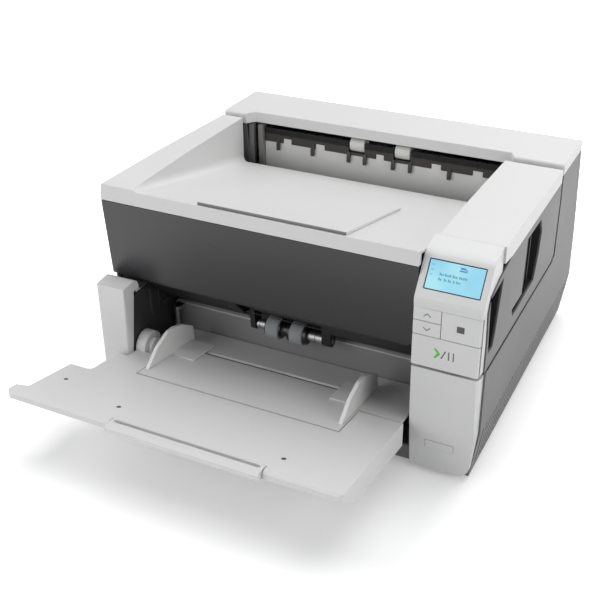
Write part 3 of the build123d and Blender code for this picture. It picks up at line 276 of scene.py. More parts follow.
def mouldedPlasticGroup(s):
    group, entry, leave = newGroup(
        "mouldedPlastic",
        [
            ("Colour", "NodeSocketColor", (0.7, 0.7, 0.7, 1)),
            ("Cloudiness", "NodeSocketFloat", 0.04),
            ("GrainSize", "NodeSocketFloat", 1400.0),
            ("Gloss", "NodeSocketFloat", 0.45),
            ("GlossSpread", "NodeSocketFloat", 0.10),
        ],
        [("Colour", "NodeSocketColor"), ("Roughness", "NodeSocketFloat"), ("Grain", "NodeSocketFloat")],
    )
    link = group.links.new
    where = objectPoint(group)
    grainSize = entry.outputs["GrainSize"]
    cloud = addNoise(group, where, s["cloudScale"], detail=3.0)
    flow = addNoise(group, where, s["flowScale"], stretch=s["flowStretch"])
    fine = addNoise(group, where, grainSize)
    coarse = addNoise(group, where, addMath(group, "MULTIPLY", grainSize, s["coarseSize"]), detail=1.0)
    cloudSpread = addMath(group, "SUBTRACT", cloud, 0.5)
    flowSpread = addMath(group, "SUBTRACT", flow, 0.5)
    fineSpread = addMath(group, "SUBTRACT", fine, 0.5)
    both = addMath(group, "MULTIPLY_ADD", flowSpread, s["flowWeight"], cloudSpread)
    shade = addMath(group, "MULTIPLY_ADD", both, entry.outputs["Cloudiness"], 1.0)
    gloss = addMath(group, "MULTIPLY_ADD", both, entry.outputs["GlossSpread"], entry.outputs["Gloss"])
    link(scaleColour(group, entry.outputs["Colour"], shade), leave.inputs["Colour"])
    link(addMath(group, "MULTIPLY_ADD", fineSpread, s["speckle"], gloss), leave.inputs["Roughness"])
    link(addMath(group, "MULTIPLY_ADD", coarse, s["coarseWeight"], fine), leave.inputs["Grain"])
    return group


# Fine lines round or along metal, with a little tarnish between them
brushedSettings = {
    "lineStretch": (1.0, 0.02, 0.02),
    "lineGloss": 0.15,
    "tarnishScale": 60.0,
    "tarnishShade": 0.22,
    "darkestShade": 0.89,
    "tarnishGloss": 0.10,
}


def brushedLinesGroup(s):
    group, entry, leave = newGroup(
        "brushedLines",
        [
            ("Colour", "NodeSocketColor", (0.6, 0.6, 0.6, 1)),
            ("Gloss", "NodeSocketFloat", 0.3),
            ("LineSize", "NodeSocketFloat", 900.0),
        ],
        [("Colour", "NodeSocketColor"), ("Roughness", "NodeSocketFloat"), ("Lines", "NodeSocketFloat")],
    )
    where = objectPoint(group)
    lines = addNoise(group, where, entry.outputs["LineSize"], detail=3.0, stretch=s["lineStretch"])
    tarnish = addNoise(group, where, s["tarnishScale"], detail=4.0)
    shade = addMath(group, "MULTIPLY_ADD", tarnish, s["tarnishShade"], s["darkestShade"])
    gloss = addMath(group, "MULTIPLY_ADD", lines, s["lineGloss"], entry.outputs["Gloss"])
    gloss = addMath(group, "MULTIPLY_ADD", tarnish, s["tarnishGloss"], gloss)
    group.links.new(scaleColour(group, entry.outputs["Colour"], shade), leave.inputs["Colour"])
    group.links.new(gloss, leave.inputs["Roughness"])
    group.links.new(lines, leave.inputs["Lines"])
    return group


# How far a point is into a band between two heights, soft at both ends
def heightBandGroup():
    group, entry, leave = newGroup(
        "heightBand",
        [
            ("Low", "NodeSocketFloat", 0.0),
            ("High", "NodeSocketFloat", 1.0),
            ("Softness", "NodeSocketFloat", 0.001),
        ],
        [("Mask", "NodeSocketFloat")],
    )
    split = group.nodes.new("ShaderNodeSeparateXYZ")
    group.links.new(objectPoint(group), split.inputs[0])
    ends = []
    for side, sign in (("Low", 1.0), ("High", -1.0)):
        gap = addMath(group, "SUBTRACT", split.outputs["Z"], entry.outputs[side])
        slope = addMath(group, "DIVIDE", addMath(group, "MULTIPLY", gap, sign), entry.outputs["Softness"])
        ends.append(addMath(group, "MINIMUM", addMath(group, "MAXIMUM", slope, 0.0), 1.0))
    group.links.new(addMath(group, "MULTIPLY", ends[0], ends[1]), leave.inputs["Mask"])
    return group


mouldedPlastic = mouldedPlasticGroup(mouldedSettings)
brushedLines = brushedLinesGroup(brushedSettings)
heightBand = heightBandGroup()
grainDepth = 0.0004  # metres, of the bump of a moulded face


def newMaterial(name):
    material = bpy.data.materials.new(name)
    material.use_nodes = True
    tree = material.node_tree
    return material, tree, tree.nodes["Principled BSDF"]


def fillSockets(node, values):
    for socketName, value in values.items():
        node.inputs[socketName].default_value = value


def addBump(tree, shader, height, strength, distance):
    bump = tree.nodes.new("ShaderNodeBump")
    fillSockets(bump, {"Strength": strength, "Distance": distance})
    tree.links.new(height, bump.inputs["Height"])
    tree.links.new(bump.outputs[0], shader.inputs["Normal"])


# Puts a shared effect's colour and roughness on the shader
def addEffect(tree, shader, group, values):
    effect = tree.nodes.new("ShaderNodeGroup")
    effect.node_tree = group
    fillSockets(effect, values)
    tree.links.new(effect.outputs["Colour"], shader.inputs["Base Color"])
    tree.links.new(effect.outputs["Roughness"], shader.inputs["Roughness"])
    return effect


def plasticMaterial(name, colour, gloss, grain=0.08, grainSize=1400.0, cloudiness=0.04, glow=None):
    material, tree, shader = newMaterial(name)
    effect = addEffect(tree, shader, mouldedPlastic, {
        "Colour": (*colour, 1), "Gloss": gloss, "Cloudiness": cloudiness, "GrainSize": grainSize,
    })
    addBump(tree, shader, effect.outputs["Grain"], grain, grainDepth)
    if glow is not None:
        tree.links.new(effect.outputs["Colour"], shader.inputs["Emission Color"])
        shader.inputs["Emission Strength"].default_value = glow
    return material


# Rubber with a ground face: dull, finely pitted, a little darker where the grinding missed
rubberSettings = {"pitting": 0.45, "cloudiness": 0.22, "sheen": 0.15}


def rubberMaterial(name, colour, gloss, pitSize=1100.0):
    s = rubberSettings
    material = plasticMaterial(
        name, colour, gloss, grain=s["pitting"], grainSize=pitSize, cloudiness=s["cloudiness"],
    )
    fillSockets(material.node_tree.nodes["Principled BSDF"], {"Sheen Weight": s["sheen"]})
    return material


metalSettings = {"lineBump": 0.06, "lineDepth": 0.0003}


def metalMaterial(name, colour, gloss, lineSize=900.0):
    material, tree, shader = newMaterial(name)
    effect = addEffect(tree, shader, brushedLines, {
        "Colour": (*colour, 1), "Gloss": gloss, "LineSize": lineSize,
    })
    shader.inputs["Metallic"].default_value = 1.0
    addBump(tree, shader, effect.outputs["Lines"], metalSettings["lineBump"], metalSettings["lineDepth"])
    return material


glassSettings = {"colour": (0.9, 0.95, 0.95, 1), "smearScale": 45.0, "smear": 0.05, "gloss": 0.01}


def glassMaterial(name, s):
    material, tree, shader = newMaterial(name)
    smear = addNoise(tree, objectPoint(tree), s["smearScale"], detail=3.0)
    tree.links.new(addMath(tree, "MULTIPLY_ADD", smear, s["smear"], s["gloss"]), shader.inputs["Roughness"])
    fillSockets(shader, {"Base Color": s["colour"], "Transmission Weight": 1.0})
    return material


# Backlit pale blue liquid crystal, cloudy between two tones, with its dot grid
displaySettings = {
    "dim": (0.3, (0.30, 0.70, 0.94, 1)),
    "bright": (0.7, (0.44, 0.86, 0.97, 1)),
    "cloudScale": 30.0,
    "dotPitch": 0.0005,
    "dotDepth": -0.10,
    "dotLight": 1.02,
    "face": {
        "Base Color": (0.03, 0.07, 0.09, 1), "Emission Strength": 0.84, "Roughness": 0.18, "Coat Weight": 0.5,
        "Coat Roughness": 0.05,
    },
}


def displayMaterial(name, s):
    material, tree, shader = newMaterial(name)
    where = objectPoint(tree)
    ramp = tree.nodes.new("ShaderNodeValToRGB")
    for element, (position, colour) in zip(ramp.color_ramp.elements, (s["dim"], s["bright"])):
        element.position = position
        element.color = colour
    tree.links.new(addNoise(tree, where, s["cloudScale"], detail=1.0), ramp.inputs[0])
    split = tree.nodes.new("ShaderNodeSeparateXYZ")
    tree.links.new(where, split.inputs[0])
    lines = []
    for axis in ("X", "Z"):
        phase = addMath(tree, "MULTIPLY", split.outputs[axis], math.tau / s["dotPitch"])
        lines.append(addMath(tree, "MULTIPLY_ADD", addMath(tree, "SINE", phase), 0.5, 0.5))
    grid = addMath(tree, "MULTIPLY", lines[0], lines[1])
    dots = addMath(tree, "MULTIPLY_ADD", grid, s["dotDepth"], s["dotLight"])
    tree.links.new(scaleColour(tree, ramp.outputs[0], dots), shader.inputs["Emission Color"])
    fillSockets(shader, s["face"])
    return material


# Green laminate with copper tracks under the lacquer
boardSettings = {
    "tracks": {
        "Scale": 170.0, "Mortar Size": 0.06, "Color1": (0.012, 0.090, 0.038, 1),
        "Color2": (0.010, 0.075, 0.032, 1), "Mortar": (0.060, 0.190, 0.070, 1),
    },
    "gloss": 0.35,
    "trackBump": 0.3,
    "trackDepth": 0.0002,
}


def boardMaterial(name, s):
    material, tree, shader = newMaterial(name)
    tracks = tree.nodes.new("ShaderNodeTexBrick")
    fillSockets(tracks, s["tracks"])
    tree.links.new(objectPoint(tree), tracks.inputs["Vector"])
    tree.links.new(tracks.outputs["Color"], shader.inputs["Base Color"])
    shader.inputs["Roughness"].default_value = s["gloss"]
    addBump(tree, shader, tracks.outputs["Fac"], s["trackBump"], s["trackDepth"])
    return material


# Plastic of one colour below a height and another above it
splitSettings = {
    "band": {"High": 1.0, "Softness": 0.0006},
    "grainScale": 500.0,
    "grainBump": 0.15,
    "grainGloss": 0.25,
    "gloss": 0.30,
    "cloudScale": 22.0,
}
combSettings = {
    "below": (0.036, 0.031, 0.026, 1), "above": (0.010, 0.010, 0.010, 1), "split": 0.2285, "tint": 0.5,
}
# Throat wall: below the split its own grey, darkened partly as painted shade from the cover over it; the pale
# band above the split is a painted highlight along the wall's top edge
wallShadeAndHighlightSettings = {
    "below": (0.26, 0.26, 0.265, 1), "above": (0.75, 0.75, 0.745, 1), "split": 0.0845, "tint": 0.1,
}


def splitMaterial(name, own, s):
    material, tree, shader = newMaterial(name)
    where = objectPoint(tree)
    band = tree.nodes.new("ShaderNodeGroup")
    band.node_tree = heightBand
    fillSockets(band, {"Low": own["split"], **s["band"]})
    mix = tree.nodes.new("ShaderNodeMix")
    mix.data_type = "RGBA"
    fillSockets(mix, {"A": own["below"], "B": own["above"]})
    tree.links.new(band.outputs["Mask"], mix.inputs["Factor"])
    grain = addNoise(tree, where, s["grainScale"], detail=3.0)
    cloud = addNoise(tree, where, s["cloudScale"])
    shade = addMath(tree, "MULTIPLY_ADD", cloud, own["tint"], 1 - own["tint"] / 2)
    gloss = addMath(tree, "MULTIPLY_ADD", grain, s["grainGloss"], s["gloss"])
    tree.links.new(scaleColour(tree, mix.outputs["Result"], shade), shader.inputs["Base Color"])
    tree.links.new(gloss, shader.inputs["Roughness"])
    addBump(tree, shader, grain, s["grainBump"], grainDepth)
    return material


materials = {
    "light_shell": plasticMaterial("lightShell", (0.70, 0.70, 0.695), 0.42, grain=0.12),
    "white_shell": plasticMaterial("whiteShell", (0.70, 0.70, 0.70), 0.38, grain=0.10),
    "charcoal_panel": plasticMaterial(
        "charcoalPanel", (0.0245, 0.0240, 0.0268), 0.34, grain=0.06, cloudiness=0.10,
    ),
    "grey_side": plasticMaterial("greySide", (0.140, 0.137, 0.143), 0.52, grain=0.25, grainSize=1100.0),
    "black_frame": plasticMaterial("blackFrame", (0.012, 0.012, 0.013), 0.45, grain=0.20, cloudiness=0.15),
    "dark_comb": splitMaterial("darkComb", combSettings, splitSettings),
    "pale_guide": plasticMaterial("paleGuide", (0.32, 0.31, 0.315), 0.42, grain=0.10),
    "key_plastic": plasticMaterial("keyPlastic", (0.70, 0.70, 0.70), 0.34, grain=0.06),
    "roller_rubber": rubberMaterial("rollerRubber", (0.30, 0.315, 0.32), 0.72),
    "foot_rubber": rubberMaterial("footRubber", (0.020, 0.020, 0.021), 0.80, pitSize=900.0),
    "steel": metalMaterial("rollerSteel", (0.62, 0.62, 0.63), 0.20),
    "clear_glass": glassMaterial("scanGlass", glassSettings),
    "lcd_glass": displayMaterial("displayFace", displaySettings),
    "board": boardMaterial("circuitBoard", boardSettings),
    "metal_case": metalMaterial("metalCase", (0.60, 0.61, 0.62), 0.36, lineSize=500.0),
}
extraMaterials = {
    "exitPlate": plasticMaterial("exitPlate", (0.73, 0.73, 0.71), 0.40, grain=0.08),
    "exitTyre": rubberMaterial("exitTyre", (0.66, 0.66, 0.63), 0.60),
    "bracketGrey": plasticMaterial("bracketGrey", (0.22, 0.215, 0.21), 0.38, grain=0.08),
    "hubBlack": plasticMaterial("hubBlack", (0.010, 0.010, 0.011), 0.28, grain=0.10),
    "latchGrey": plasticMaterial("latchGrey", (0.055, 0.052, 0.052), 0.40, grain=0.10),
    "brush": rubberMaterial("brushFibre", (0.008, 0.008, 0.008), 0.85, pitSize=2200.0),
    "markGrey": plasticMaterial("markGrey", (0.150, 0.150, 0.148), 0.45, grain=0.05),
    "markDark": plasticMaterial("markDark", (0.085, 0.075, 0.075), 0.45, grain=0.05),
    "markGreen": plasticMaterial("markGreen", (0.070, 0.560, 0.035), 0.40, grain=0.05),
    "displayInk": plasticMaterial("displayInk", (0.05, 0.20, 0.27), 0.30, grain=0.03, glow=0.65),
    "displayIcon": plasticMaterial("displayIcon", (0.06, 0.17, 0.35), 0.30, grain=0.03, glow=0.75),
    "throatShadeAndHighlight": splitMaterial("throatShadeAndHighlight", wallShadeAndHighlightSettings, splitSettings),
    "linerBlack": plasticMaterial("linerBlack", (0.030, 0.029, 0.029), 0.45, grain=0.20, cloudiness=0.15),
    # Lighter than the shell: painted light on the side guides' fins, which sit in shade
    "guideLightenedWhite": plasticMaterial("guideLightenedWhite", (0.80, 0.80, 0.79), 0.36, grain=0.06),
    # Darker than the black frame: painted shade in the side slots
    "slotShadeBlack": plasticMaterial("slotShadeBlack", (0.003, 0.003, 0.003), 0.62, grain=0.15),
    # Lighter than the side: painted light on the vent ribs to offset their shade
    "ribLightenedGrey": plasticMaterial("ribLightenedGrey", (0.175, 0.170, 0.174), 0.50, grain=0.20, grainSize=1100.0),
    # Painted shade on the output extension's front face
    "frontShadeGrey": plasticMaterial("frontShadeGrey", (0.20, 0.20, 0.205), 0.45, grain=0.10),
    "plugGrey": plasticMaterial("plugGrey", (0.10, 0.10, 0.10), 0.50, grain=0.10),
    "ventShade": plasticMaterial("ventShade", (0.012, 0.011, 0.011), 0.60, grain=0.15),
    # Rubbery black for the pieces of painted shade: the display's recess ring, the key gaps and the side
    # seams
    "paintedShadeBlack": rubberMaterial("paintedShadeBlack", (0.012, 0.012, 0.013), 0.70, pitSize=1600.0),
    "collarSteel": metalMaterial("collarSteel", (0.45, 0.45, 0.46), 0.33),
    "moduleBlack": plasticMaterial("moduleBlack", (0.015, 0.018, 0.020), 0.35, grain=0.10),
    "screwSteel": metalMaterial("screwSteel", (0.42, 0.42, 0.43), 0.30, lineSize=1500.0),
    "brass": metalMaterial("pinBrass", (0.62, 0.50, 0.26), 0.25, lineSize=1500.0),
}
ownLook = {
    "exit_backplate": extraMaterials["exitPlate"],
    "exit_bracket": extraMaterials["bracketGrey"],
    "lcd_module": extraMaterials["moduleBlack"],
    "throat_wall": extraMaterials["throatShadeAndHighlight"],
    "side_slot_liner": extraMaterials["slotShadeBlack"],
    "throat_liner": extraMaterials["linerBlack"],
    "guide_left": extraMaterials["guideLightenedWhite"],
    "guide_right": extraMaterials["guideLightenedWhite"],
}
slotOf = {entry["node"]: entry["material_slot"] for entry in frame["record"]["subparts"]}
for nodeName, node in nodes.items():
    node.data.materials.clear()
    node.data.materials.append(ownLook.get(nodeName, materials[slotOf[nodeName]]))
print("stage: materials on the frame")


# Soft edges on the mouldings: bevel widths in millimetres, angles in degrees

edgeSettings = {
    "usual": 0.5,
    "own": {
        "cover_shell": 0.9, "rear_cap": 0.9, "input_tray": 0.7, "left_pillar": 1.8, "right_column": 0.9,
        "control_bezel": 0.8, "elevator_platform": 0.6, "base_housing": 0.8, "cover_side_left": 0.6,
        "guide_left": 0.35, "guide_right": 0.35, "exit_comb": 0.25, "exit_backplate": 0.2, "lcd_window": 0.1,
        "key_up": 0.45, "key_down": 0.45, "key_stop": 0.45, "key_start": 0.45, "power_button": 0.3,
        "output_extension": 0.4,
    },
    "none": ("fan_rotor", "main_board", "vent_panel", "lower_glass", "upper_glass"),
    "weld": 0.01,
    "flat": 0.5,
    "sharpest": 35,
    "shallow": {"cover_shell": 9},
    "segments": 3,
    "weight": 100,
}


def softenEdges(node, s):
    weld = node.modifiers.new("joinFacets", "WELD")
    weld.merge_threshold = s["weld"] * mm
    flatten = node.modifiers.new("dissolveFlats", "DECIMATE")
    flatten.decimate_type = "DISSOLVE"
    flatten.angle_limit = math.radians(s["flat"])
    soften = node.modifiers.new("softEdges", "BEVEL")
    soften.width = s["own"].get(node.name, s["usual"]) * mm
    soften.segments = s["segments"]
    soften.limit_method = "ANGLE"
    soften.angle_limit = math.radians(s["shallow"].get(node.name, s["sharpest"]))
    weigh = node.modifiers.new("evenShading", "WEIGHTED_NORMAL")
    weigh.keep_sharp = False
    weigh.weight = s["weight"]


for nodeName, node in nodes.items():
    if nodeName not in edgeSettings["none"]:
        softenEdges(node, edgeSettings)
print("stage: edges softened")


# Tools for the pieces that the frame doesn't hold

housingLow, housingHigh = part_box("base_housing")
datum = Vector((housingLow.x, housingLow.y, 0))
weldGap = 0.0005  # millimetres


def at(x, y, z):  # millimetres from the housing's left side, front and the floor
    return datum + Vector((x, y, z)) * mm


def makePiece(name, bm, material, body, sharpest=35, replaced=()):
    bmesh.ops.remove_doubles(bm, verts=bm.verts, dist=weldGap * mm)
    bmesh.ops.recalc_face_normals(bm, faces=bm.faces)
    mesh = bpy.data.meshes.new(name)
    bm.to_mesh(mesh)
    bm.free()
    mesh.materials.append(material)
    mesh.shade_smooth()
    mesh.set_sharp_from_angle(angle=math.radians(sharpest))
    piece = bpy.data.objects.new(name, mesh)
    bpy.context.scene.collection.objects.link(piece)
    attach(piece, body)
    if replaced:
        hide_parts(*replaced)


# Spins (distance along the axis, radius) pairs in millimetres round an axis
def turn(bm, profile, origin, axis, steps):
    axis = Vector(axis).normalized()
    side = axis.orthogonal().normalized()
    chain = [bm.verts.new(origin + axis * along * mm + side * radius * mm) for along, radius in profile]
    edges = [bm.edges.new(pair) for pair in zip(chain, chain[1:])]
    bmesh.ops.spin(
        bm, geom=chain + edges, cent=origin, axis=axis, angle=math.tau, steps=steps, use_merge=True,
        use_duplicate=False,
    )


# A plane to draw on: right, up and outwards
def drawingPlane(origin, right, up):
    right = Vector(right).normalized()
    up = Vector(up).normalized()
    return Matrix.Translation(origin) @ Matrix((right, up, right.cross(up))).transposed().to_4x4()


def rectangle(x, z, width, height):
    return ((x, z), (x + width, z), (x + width, z + height), (x, z + height))


def drawFace(bm, outline, plane, sunk):
    return bm.faces.new([bm.verts.new(plane @ Vector((u * mm, v * mm, -sunk * mm))) for u, v in outline])


def liftFaces(bm, faces, plane, height):
    grown = bmesh.ops.extrude_face_region(bm, geom=faces)
    lifted = [item for item in grown["geom"] if isinstance(item, bmesh.types.BMVert)]
    bmesh.ops.translate(bm, verts=lifted, vec=plane.to_3x3() @ Vector((0, 0, height * mm)))
    return lifted


# A solid from an outline, from a depth under the plane to a height over it
def raiseOutline(bm, outline, plane, sunk, proud):
    return liftFaces(bm, [drawFace(bm, outline, plane, sunk)], plane, sunk + proud)


# A frame of one width inside an outline
def raiseRing(bm, outline, plane, width, sunk, proud):
    inside = drawFace(bm, outline, plane, sunk)
    inside.normal_update()
    ring = bmesh.ops.inset_region(
        bm, faces=[inside], thickness=width * mm, use_boundary=True, use_even_offset=True,
    )["faces"]
    bmesh.ops.delete(bm, geom=[inside], context="FACES")
    liftFaces(bm, ring, plane, sunk + proud)


def softRim(bm, edges, width):
    bmesh.ops.bevel(
        bm, geom=edges, offset=width * mm, segments=2, profile=0.5, affect="EDGES", material=-1,
    )


def softBlock(bm, low, high, edge):
    made = bmesh.ops.create_cube(bm, size=1.0)["verts"]
    low, high = at(*low), at(*high)
    bmesh.ops.scale(bm, verts=made, vec=high - low)
    bmesh.ops.translate(bm, verts=made, vec=(low + high) / 2)
    softRim(bm, list({e for v in made for e in v.link_edges}), edge)


# One piece of blocks, each with its low corner, its high corner and how soft its edges are
def makeBlocks(name, blocks, material, body):
    bm = bmesh.new()
    for block in blocks:
        softBlock(bm, *block)
    makePiece(name, bm, material, body)


# Half of a tyre's section, as insets from its side and radii, mirrored to both sides
def tyreProfile(centre, half, rims):
    near = [(centre - half + inset, radius) for inset, radius in rims]
    return near + [(centre + half - inset, radius) for inset, radius in reversed(rims)]


# Feed roller: two ribbed tyres, hub discs, shaft and bright collars

feedSettings = {
    "place": (0.0, 46.0, 95.5),
    "tyres": (179.2, 208.6),
    "halfWidth": 7.8,
    "rims": ((0.0, 9.0), (0.0, 11.9), (0.5, 12.7), (1.3, 13.0)),
    "ribs": 78,
    "ribDepth": 0.22,
    "ribFloor": 12.0,
    "sharpest": 50,
    "hubSteps": 56,
    "shaftSteps": 40,
    "hubs": (
        (169.6, 3.0), (169.6, 10.4), (170.0, 11.0), (172.6, 11.0), (172.6, 9.1), (186.0, 9.1), (186.0, 11.0),
        (188.6, 11.0), (189.0, 10.4), (189.0, 8.4), (191.4, 7.6), (193.2, 7.6), (197.0, 7.6), (197.4, 10.6),
        (197.8, 11.0), (201.8, 11.0), (201.8, 9.1), (215.4, 9.1), (215.4, 11.0), (219.6, 11.0), (220.2, 10.4),
        (220.2, 3.0),
    ),
    "shaft": (
        (151.0, 0.0), (151.0, 2.5), (151.5, 3.0), (157.6, 3.0), (157.6, 4.9), (158.0, 5.5), (161.2, 5.5),
        (161.5, 5.0), (162.4, 5.0), (162.7, 5.5), (168.8, 5.5), (169.4, 5.0), (169.4, 3.0), (220.0, 3.0),
        (220.0, 5.4), (220.6, 6.0), (229.4, 6.0), (229.7, 5.4), (230.6, 5.4), (230.9, 6.0), (237.6, 6.0),
        (238.0, 5.6), (238.0, 3.0), (248.5, 3.0), (249.0, 2.5), (249.0, 0.0),
    ),
}


def makeFeedTyre(bm, centre, s):
    origin = at(*s["place"])
    before = set(bm.verts)
    turn(bm, tyreProfile(centre, s["halfWidth"], s["rims"]), origin, (1, 0, 0), steps=s["ribs"] * 2)
    pitch = math.tau / (s["ribs"] * 2)
    for vert in (v for v in bm.verts if v not in before):
        arm = Vector((0, vert.co.y - origin.y, vert.co.z - origin.z))
        step = round(math.atan2(arm.z, arm.y) / pitch)
        if step % 2 and arm.length > s["ribFloor"] * mm:
            vert.co -= arm.normalized() * s["ribDepth"] * mm


def makeFeedRoller(s):
    origin = at(*s["place"])
    tyres = bmesh.new()
    for centre in s["tyres"]:
        makeFeedTyre(tyres, centre, s)
    makePiece("feedTyres", tyres, materials["roller_rubber"], "feed_roller",
              sharpest=s["sharpest"], replaced=("feed_roller",))
    hubs = bmesh.new()
    turn(hubs, s["hubs"], origin, (1, 0, 0), steps=s["hubSteps"])
    makePiece("feedHubs", hubs, extraMaterials["hubBlack"], "feed_roller")
    shaft = bmesh.new()
    turn(shaft, s["shaft"], origin, (1, 0, 0), steps=s["shaftSteps"])
    makePiece("feedShaft", shaft, extraMaterials["collarSteel"], "feed_roller")


makeFeedRoller(feedSettings)


# Exit roller: two pale tyres on a steel shaft

exitSettings = {
    "place": (0.0, 275.5, 230.5),
    "tyres": (178.0, 237.0),
    "halfWidth": 9.5,
    "rims": ((0.0, 4.2), (0.0, 7.8), (0.4, 8.7), (1.2, 9.0)),
    "sharpest": 50,
    "tyreSteps": 56,
    "shaftSteps": 32,
    "shaft": (
        (52.5, 0.0), (52.5, 2.6), (52.9, 3.0), (168.0, 3.0), (168.2, 4.4), (188.0, 4.4), (188.2, 3.0),
        (227.0, 3.0), (227.2, 4.4), (247.0, 4.4), (247.2, 3.0), (366.2, 3.0), (366.6, 2.6), (366.6, 0.0),
    ),
}


def makeExitRoller(s):
    origin = at(*s["place"])
    tyres = bmesh.new()
    for centre in s["tyres"]:
        profile = tyreProfile(centre, s["halfWidth"], s["rims"])
        turn(tyres, profile + profile[:1], origin, (1, 0, 0), steps=s["tyreSteps"])
    makePiece("exitTyres", tyres, extraMaterials["exitTyre"], "exit_roller",
              sharpest=s["sharpest"], replaced=("exit_roller",))
    shaft = bmesh.new()
    turn(shaft, s["shaft"], origin, (1, 0, 0), steps=s["shaftSteps"])
    makePiece("exitShaft", shaft, materials["steel"], "exit_roller")


makeExitRoller(exitSettings)
print("stage: rollers")


# Fibre brush along the comb's upper edge, and the channel of the bracket beside it

brushSettings = {
    "spans": ((50.8, 166.6), (189.4, 225.6), (248.4, 368.3)),
    "face": 268.0,
    "low": 228.8,
    "high": 235.2,
    "tuft": 1.15,
    "gap": 0.04,
    "lowSpread": (-0.9, 0.5),
    "leanSpread": (-0.25, 0.25),
    "tipSpread": (-0.3, 0.3),
    "sunk": 0.1,
    "proudSpread": (0.35, 0.85),
    "seed": 7,
}


def makeBrush(s):
    draw = random.Random(s["seed"])
    bm = bmesh.new()
    plane = drawingPlane(at(0, s["face"], 0), (1, 0, 0), (0, 0, 1))
    for start, end in s["spans"]:
        tufts = round((end - start) / s["tuft"])
        pitch = (end - start) / tufts
        for count in range(tufts):
            left = start + count * pitch
            right = left + pitch
            low = s["low"] + draw.uniform(*s["lowSpread"])
            lean = draw.uniform(*s["leanSpread"])
            outline = (
                (left + s["gap"] + lean, low), (right - s["gap"] + lean, low + draw.uniform(*s["tipSpread"])),
                (right, s["high"]), (left, s["high"]),
            )
            raiseOutline(bm, outline, plane, s["sunk"], draw.uniform(*s["proudSpread"]))
    makePiece("exitBrush", bm, extraMaterials["brush"], "base")


makeBrush(brushSettings)

bracketSettings = {"blocks": (((36.9, 270.3, 187.0), (43.7, 272.1, 238.0), 0.3),)}
makeBlocks("bracketChannel", bracketSettings["blocks"], extraMaterials["hubBlack"], "base")


# Marks on the keys, raised a hair above them

markSettings = {
    "face": -19.0,
    "chevron": {"halfWidth": 3.6, "rise": 3.1, "stroke": 1.25},
    "up": (376.0, 196.4),
    "down": (376.0, 180.0),
    "stop": ((405.6, 184.4), (413.0, 191.3)),
    "stopCorner": 0.5,
    "arrow": ((384.2, 161.6), (386.8, 161.6), (391.2, 156.3), (386.8, 151.0), (384.2, 151.0), (388.0, 156.3)),
    "slash": ((391.4, 151.6), (392.9, 151.6), (396.9, 160.6), (395.4, 160.6)),
    "bars": (rectangle(398.9, 151.4, 1.3, 9.4), rectangle(403.6, 151.4, 1.3, 9.4)),
    "sunk": 0.05,
    "proud": 0.10,
}


def chevronOutline(centre, halfWidth, rise, stroke):
    x, z = centre
    drop = stroke if rise > 0 else -stroke
    return (
        (x - halfWidth, z - rise / 2), (x, z + rise / 2), (x + halfWidth, z - rise / 2),
        (x + halfWidth, z - rise / 2 - drop), (x, z + rise / 2 - drop), (x - halfWidth, z - rise / 2 - drop),
    )


def cutCorners(low, high, cut):
    (x0, z0), (x1, z1) = low, high
    return (
        (x0 + cut, z0), (x1 - cut, z0), (x1, z0 + cut), (x1, z1 - cut),
        (x1 - cut, z1), (x0 + cut, z1), (x0, z1 - cut), (x0, z0 + cut),
    )


def makeMark(name, outlines, material, body, plane, s):
    bm = bmesh.new()
    for outline in outlines:
        raiseOutline(bm, outline, plane, s["sunk"], s["proud"])
    makePiece(name, bm, material, body)


def makeKeyMarks(s):
    face = drawingPlane(at(0, s["face"], 0), (1, 0, 0), (0, 0, 1))
    grey = extraMaterials["markGrey"]
    shape = s["chevron"]
    for name, rise in (("up", shape["rise"]), ("down", -shape["rise"])):
        outline = chevronOutline(s[name], shape["halfWidth"], rise, shape["stroke"])
        makeMark(name + "Mark", [outline], grey, "key_" + name, face, s)
    square = cutCorners(*s["stop"], s["stopCorner"])
    makeMark("stopMark", [square], extraMaterials["markDark"], "key_stop", face, s)
    makeMark("startMark", [s["arrow"]], extraMaterials["markGreen"], "key_start", face, s)
    makeMark("pauseMark", [s["slash"], *s["bars"]], grey, "key_start", face, s)


makeKeyMarks(markSettings)


# What the display shows, rows of short bars and a small tray symbol, and a dark ring of painted shade round
# it for the shade in the display's recess

screenSettings = {
    "facetLow": (-20.0, 212.0),
    "facetHigh": (5.4, 248.0),
    "centre": 396.0,
    "along": 25.5,
    "depth": 0.8,
    "rows": (
        (0.2, ((-15.5, 4.6), (-10.2, 6.4), (-2.8, 5.2), (3.6, 8.2))),
        (-4.6, ((-15.5, 3.4), (-10.2, 3.0), (-6.2, 3.6), (-1.4, 2.0), (1.8, 4.4))),
    ),
    "barHeight": 2.6,
    "lowStroke": 0.72,
    "strokePitch": 1.5,
    "strokeWidth": 0.68,
    "ticks": [rectangle(-24.6, z, 2.4, 0.7) for z in (9.0, 4.2, -0.6)],
    "icon": (
        rectangle(2.4, 7.2, 7.4, 1.5),
        ((3.4, 9.4), (8.8, 9.4), (7.6, 11.4), (2.2, 11.4)),
        rectangle(8.4, 8.9, 1.5, 0.9),
    ),
    "sunk": 0.03,
    "proud": 0.06,
}
recessShadeSettings = {
    "low": (-27.75, -14.75), "high": (27.75, 14.75), "corner": 0.8, "width": 0.9, "sunk": 0.05, "proud": 0.45,
}


def facetPlane(s):
    low, high = Vector(s["facetLow"]), Vector(s["facetHigh"])
    run = (high - low).normalized()
    up = Vector((0, run.x, run.y))
    outwards = Vector((0, -run.y, run.x))
    return drawingPlane(at(s["centre"], *low) + (up * s["along"] - outwards * s["depth"]) * mm, (1, 0, 0), up)


